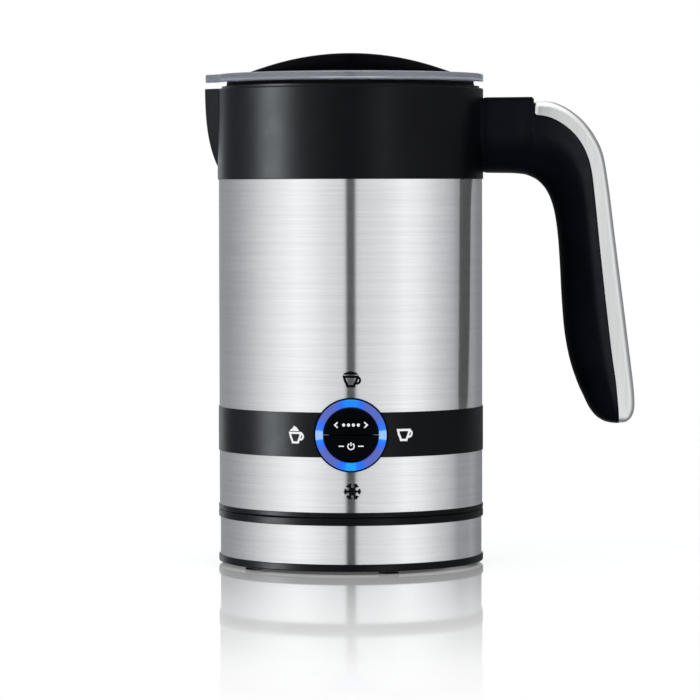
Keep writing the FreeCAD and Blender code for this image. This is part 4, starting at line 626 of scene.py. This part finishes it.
def make_symbols():
    foam = [(-3.6, 1.72), (-3.0, 2.35), (-1.7, 2.85), (-0.75, 3.1), (0.3, 2.8), (1.6, 2.35), (2.2, 1.72)]
    printed("symbol_cup_foam", raised(cup(7.2, 4.4, 0.92), -0.75), [foam], 0.6 * MM,
            Z_BUTTONS + 20.5 * MM, SLEEVE_R, "print_black", "jug")

    cream = [(-2.95, 1.2), (-2.1, 2.05), (-1.05, 2.5), (-1.3, 3.2), (0.0, 2.55), (1.0, 1.2)]
    printed("symbol_cup_cream", raised(cup(6.3, 4.3, 0.78), -1.25), [cream], -20.0 * MM,
            Z_BUTTONS + 0.1 * MM, BAND_R, "print_white", "jug")
    printed("symbol_cup_plain", cup(6.6, 4.5, 0.82), [], 20.0 * MM,
            Z_BUTTONS - 0.2 * MM, BAND_R, "print_white", "jug")

    arms = [(arc(0.0, 0.0, 1.2, 0, 345, 23), 0.5, True)]
    for k in range(6):
        turn = math.radians(60 * k)
        c, s = math.cos(turn), math.sin(turn)

        def rotate(p, c=c, s=s):
            return (p[0] * c - p[1] * s, p[0] * s + p[1] * c)

        arms.append(([rotate((0.0, 0.0)), rotate((3.2, 0.0))], 0.72, False))
        barb = [rotate((2.85, 0.95)), rotate((1.95, 0.0)), rotate((2.85, -0.95))]
        arms.append((barb, 0.62, False))
    printed("symbol_snowflake", arms, [], 0.5 * MM, Z_BUTTONS - 20.8 * MM, SLEEVE_R, "print_black", "jug")

    dots = [arc(x, 0.0, 0.62, 0, 330, 11) for x in (-2.7, -0.9, 0.9, 2.7)]
    chevrons = [([(side * 4.9, 1.0), (side * 6.0, 0.0), (side * 4.9, -1.0)], 0.5, False)
                for side in (-1, 1)]
    printed("symbol_mode", chevrons, dots, 0.0, Z_BUTTONS + 3.8 * MM, BUTTON_FACE_R,
            "print_white", "function_button")
    power = [(arc(0.0, -0.05, 1.15, 120, 420, 24), 0.42, False), ([(0.0, 0.1), (0.0, 1.45)], 0.42, False)]
    bars = [([(side * 2.6, 0.0), (side * 4.6, 0.0)], 0.42, False) for side in (-1, 1)]
    printed("symbol_power", power + bars, [], 0.0, Z_BUTTONS - 4.0 * MM, BUTTON_FACE_R,
            "print_white", "power_button")


# ---------------------------------------------------------------- studio
# How much of the floor's light is a reflection, by distance from the middle in metres.
FLOOR_SHINE = (
    (0.06, 0.66), (0.09, 0.64), (0.15, 0.50), (0.20, 0.40), (0.27, 0.22), (0.31, 0.11), (0.40, 0.0),
)


def make_floor():
    """A pale floor disc that reflects the object near it and fades out all round. Reflections in the
    object don't see it."""
    rings, count = [0.0005, 0.03, 0.06, 0.1, 0.16, 0.24, 0.34, 0.46, 0.62, 0.82, 1.05], 96
    turns = [2 * math.pi * j / count for j in range(count)]
    points, faces = skin([[Vector((r * math.cos(a), r * math.sin(a), 0.0)) for a in turns] for r in rings],
                         caps=False)
    mesh = bpy.data.meshes.new("floor")
    mesh.from_pydata(points, [], [f[::-1] for f in faces])
    floor = bpy.data.objects.new("floor", mesh)
    bpy.context.scene.collection.objects.link(floor)
    floor.visible_glossy = False
    finish = Finish("floor_white", Base_Color=(0.62, 0.62, 0.62, 1.0), Roughness=0.9,
                    Specular_IOR_Level=0.0, Emission_Color=(1.0, 1.0, 1.0, 1.0), Emission_Strength=0.24)
    mesh.materials.append(finish.material)
    length = finish.add("ShaderNodeVectorMath", operation="LENGTH")
    finish.link(finish.place, length.inputs[0])
    distance = length.outputs["Value"]
    gloss = finish.add("ShaderNodeBsdfGlossy")
    gloss.inputs["Roughness"].default_value = 0.045
    gloss.inputs["Color"].default_value = (0.95, 0.97, 0.97, 1.0)
    share = finish.ramp(distance, [(reach, grey(amount)) for reach, amount in FLOOR_SHINE])
    shiny = finish.add("ShaderNodeMixShader")
    finish.link(share, shiny.inputs[0])
    finish.link(finish.shader.outputs[0], shiny.inputs[1])
    finish.link(gloss.outputs[0], shiny.inputs[2])
    clear = finish.add("ShaderNodeBsdfTransparent")
    fade = finish.ramp(distance, [(0.52, grey(0.0)), (0.98, grey(1.0))])
    whole = finish.add("ShaderNodeMixShader")
    finish.link(fade, whole.inputs[0])
    finish.link(shiny.outputs[0], whole.inputs[1])
    finish.link(clear.outputs[0], whole.inputs[2])
    output = next(n for n in finish.tree.nodes if n.type == "OUTPUT_MATERIAL")
    finish.link(whole.outputs[0], output.inputs["Surface"])


# Brightness of the surrounding studio by compass direction, in degrees from the front towards the
# handle's side: two broad soft boxes, with the dark camera slot between them.
STUDIO = (
    (-180, 1.12), (-173, 1.12), (-168, 0.34), (-150, 0.32), (-132, 0.34), (-114, 0.47), (-96, 0.70),
    (-84, 0.90), (-66, 1.18), (-48, 1.38), (-34, 1.26), (-22, 1.06), (-8, 0.92), (-5, 0.80), (-3.1, 0.0),
    (3.1, 0.0), (5, 0.80), (8, 0.90), (24, 1.02), (36, 1.16), (48, 1.34), (62, 1.22), (80, 0.88),
    (98, 0.60), (108, 0.36), (123, 0.34), (131, 0.40), (146, 0.26), (168, 0.22), (173, 1.12), (180, 1.12),
)
STUDIO_GAIN = 2.0            # the table is divided by this, and the light multiplied, to stay within a ramp
OVERHEAD = 0.85              # brightness straight up, before the gain


def make_world():
    """Soft studio light from all round. The camera itself sees a white backdrop."""
    world = bpy.data.worlds.new("studio")
    bpy.context.scene.world = world
    world.use_nodes = True
    tree = world.node_tree
    tree.nodes.clear()

    def add(kind, **settings):
        node = tree.nodes.new(kind)
        for key, value in settings.items():
            setattr(node, key, value)
        return node

    def math_node(operation, a, b):
        node = add("ShaderNodeMath", operation=operation)
        for socket, value in zip(node.inputs, (a, b)):
            if isinstance(value, (int, float)):
                socket.default_value = value
            else:
                tree.links.new(value, socket)
        return node.outputs[0]

    axes = add("ShaderNodeSeparateXYZ")
    tree.links.new(add("ShaderNodeTexCoord").outputs["Generated"], axes.inputs[0])
    forward = math_node("MULTIPLY", axes.outputs["Y"], -1.0)
    turn = math_node("ARCTAN2", axes.outputs["X"], forward)
    share = math_node("ADD", math_node("DIVIDE", turn, 2 * math.pi), 0.5)
    ramp = add("ShaderNodeValToRGB")
    elements = ramp.color_ramp.elements
    while len(elements) < len(STUDIO):
        elements.new(1.0)
    for element, (degrees, value) in zip(elements, STUDIO):
        element.position = degrees / 360.0 + 0.5
        cool = 0.05 * max(0.0, 1.0 - value)
        level = value / STUDIO_GAIN
        element.color = (level * (1 - cool), level, level * (1 + cool * 1.5), 1.0)
    tree.links.new(share, ramp.inputs[0])
    overhead = add("ShaderNodeMapRange")
    overhead.inputs["From Min"].default_value = 0.55
    overhead.inputs["From Max"].default_value = 0.85
    tree.links.new(axes.outputs["Z"], overhead.inputs["Value"])
    mix = add("ShaderNodeMix", data_type="RGBA")
    tree.links.new(overhead.outputs[0], mix.inputs["Factor"])
    tree.links.new(ramp.outputs[0], mix.inputs["A"])
    mix.inputs["B"].default_value = (OVERHEAD, OVERHEAD, OVERHEAD, 1.0)
    lighting = add("ShaderNodeBackground")
    lighting.inputs["Strength"].default_value = STUDIO_GAIN
    tree.links.new(mix.outputs["Result"], lighting.inputs["Color"])
    backdrop = add("ShaderNodeBackground")
    backdrop.inputs["Color"].default_value = (1.0, 1.0, 1.0, 1.0)
    path = add("ShaderNodeLightPath")
    chosen = add("ShaderNodeMixShader")
    tree.links.new(path.outputs["Is Camera Ray"], chosen.inputs[0])
    tree.links.new(lighting.outputs[0], chosen.inputs[1])
    tree.links.new(backdrop.outputs[0], chosen.inputs[2])
    tree.links.new(chosen.outputs[0], add("ShaderNodeOutputWorld").inputs["Surface"])


# Tall strip lights that only one finish receives: direction in degrees, watts, width and the finish.
STRIPS = (
    (-69.0, 50.0, 0.40, "satin_black"), (-152.0, 1.5, 0.30, "satin_black"),
    (28.0, 3.0, 0.30, "satin_black"), (28.0, 48.0, 0.30, "grip_black"),
)
STRIP_DISTANCE, STRIP_HEIGHT, STRIP_MIDDLE = 1.1, 1.1, 0.12


def make_strips():
    """Adds the strip lights, each linked to the pieces whose first finish it is for."""
    pieces = list(frame["nodes"].values()) + list(bpy.context.scene.objects)
    for number, (side, watts, width, finish) in enumerate(STRIPS):
        lit = bpy.data.collections.new("lit_by_strip_%d" % number)
        for node in pieces:
            names = [slot.material.name for slot in node.material_slots if slot.material]
            if names and names[0] == finish and node.name not in lit.objects:
                lit.objects.link(node)
        strip = bpy.data.lights.new("strip", "AREA")
        strip.shape = "RECTANGLE"
        strip.size, strip.size_y = width, STRIP_HEIGHT
        strip.energy = watts
        strip.color = (0.90, 0.96, 1.0)
        holder = bpy.data.objects.new("strip", strip)
        bpy.context.scene.collection.objects.link(holder)
        turn = math.radians(side)
        holder.location = (STRIP_DISTANCE * math.sin(turn), -STRIP_DISTANCE * math.cos(turn), STRIP_MIDDLE)
        holder.rotation_euler = (math.pi / 2, 0.0, turn)
        holder.light_linking.receiver_collection = lit


CAMERA_PLACE = (-0.0003, -1.421, 0.1413)
CAMERA_LENS, CAMERA_DOWN_DEG, CAMERA_ROLL_DEG = 192.2, 2.437, -0.11


def make_camera():
    """A long lens a little above the object, looking slightly down."""
    camera = bpy.data.cameras.new("camera")
    camera.sensor_width = 36.0
    camera.lens = CAMERA_LENS
    camera.clip_start = 0.05
    holder = bpy.data.objects.new("camera", camera)
    bpy.context.scene.collection.objects.link(holder)
    holder.location = CAMERA_PLACE
    look = Matrix.Rotation(math.radians(90.0 - CAMERA_DOWN_DEG), 4, "X")
    look = look @ Matrix.Rotation(math.radians(CAMERA_ROLL_DEG), 4, "Z")
    holder.rotation_mode = "QUATERNION"
    holder.rotation_quaternion = look.to_quaternion()
    bpy.context.scene.camera = holder
    bpy.context.scene.view_settings.view_transform = "Standard"


make_handle()
make_lid_grip()
make_spring()
make_symbols()
make_floor()
make_world()
make_strips()
make_camera()
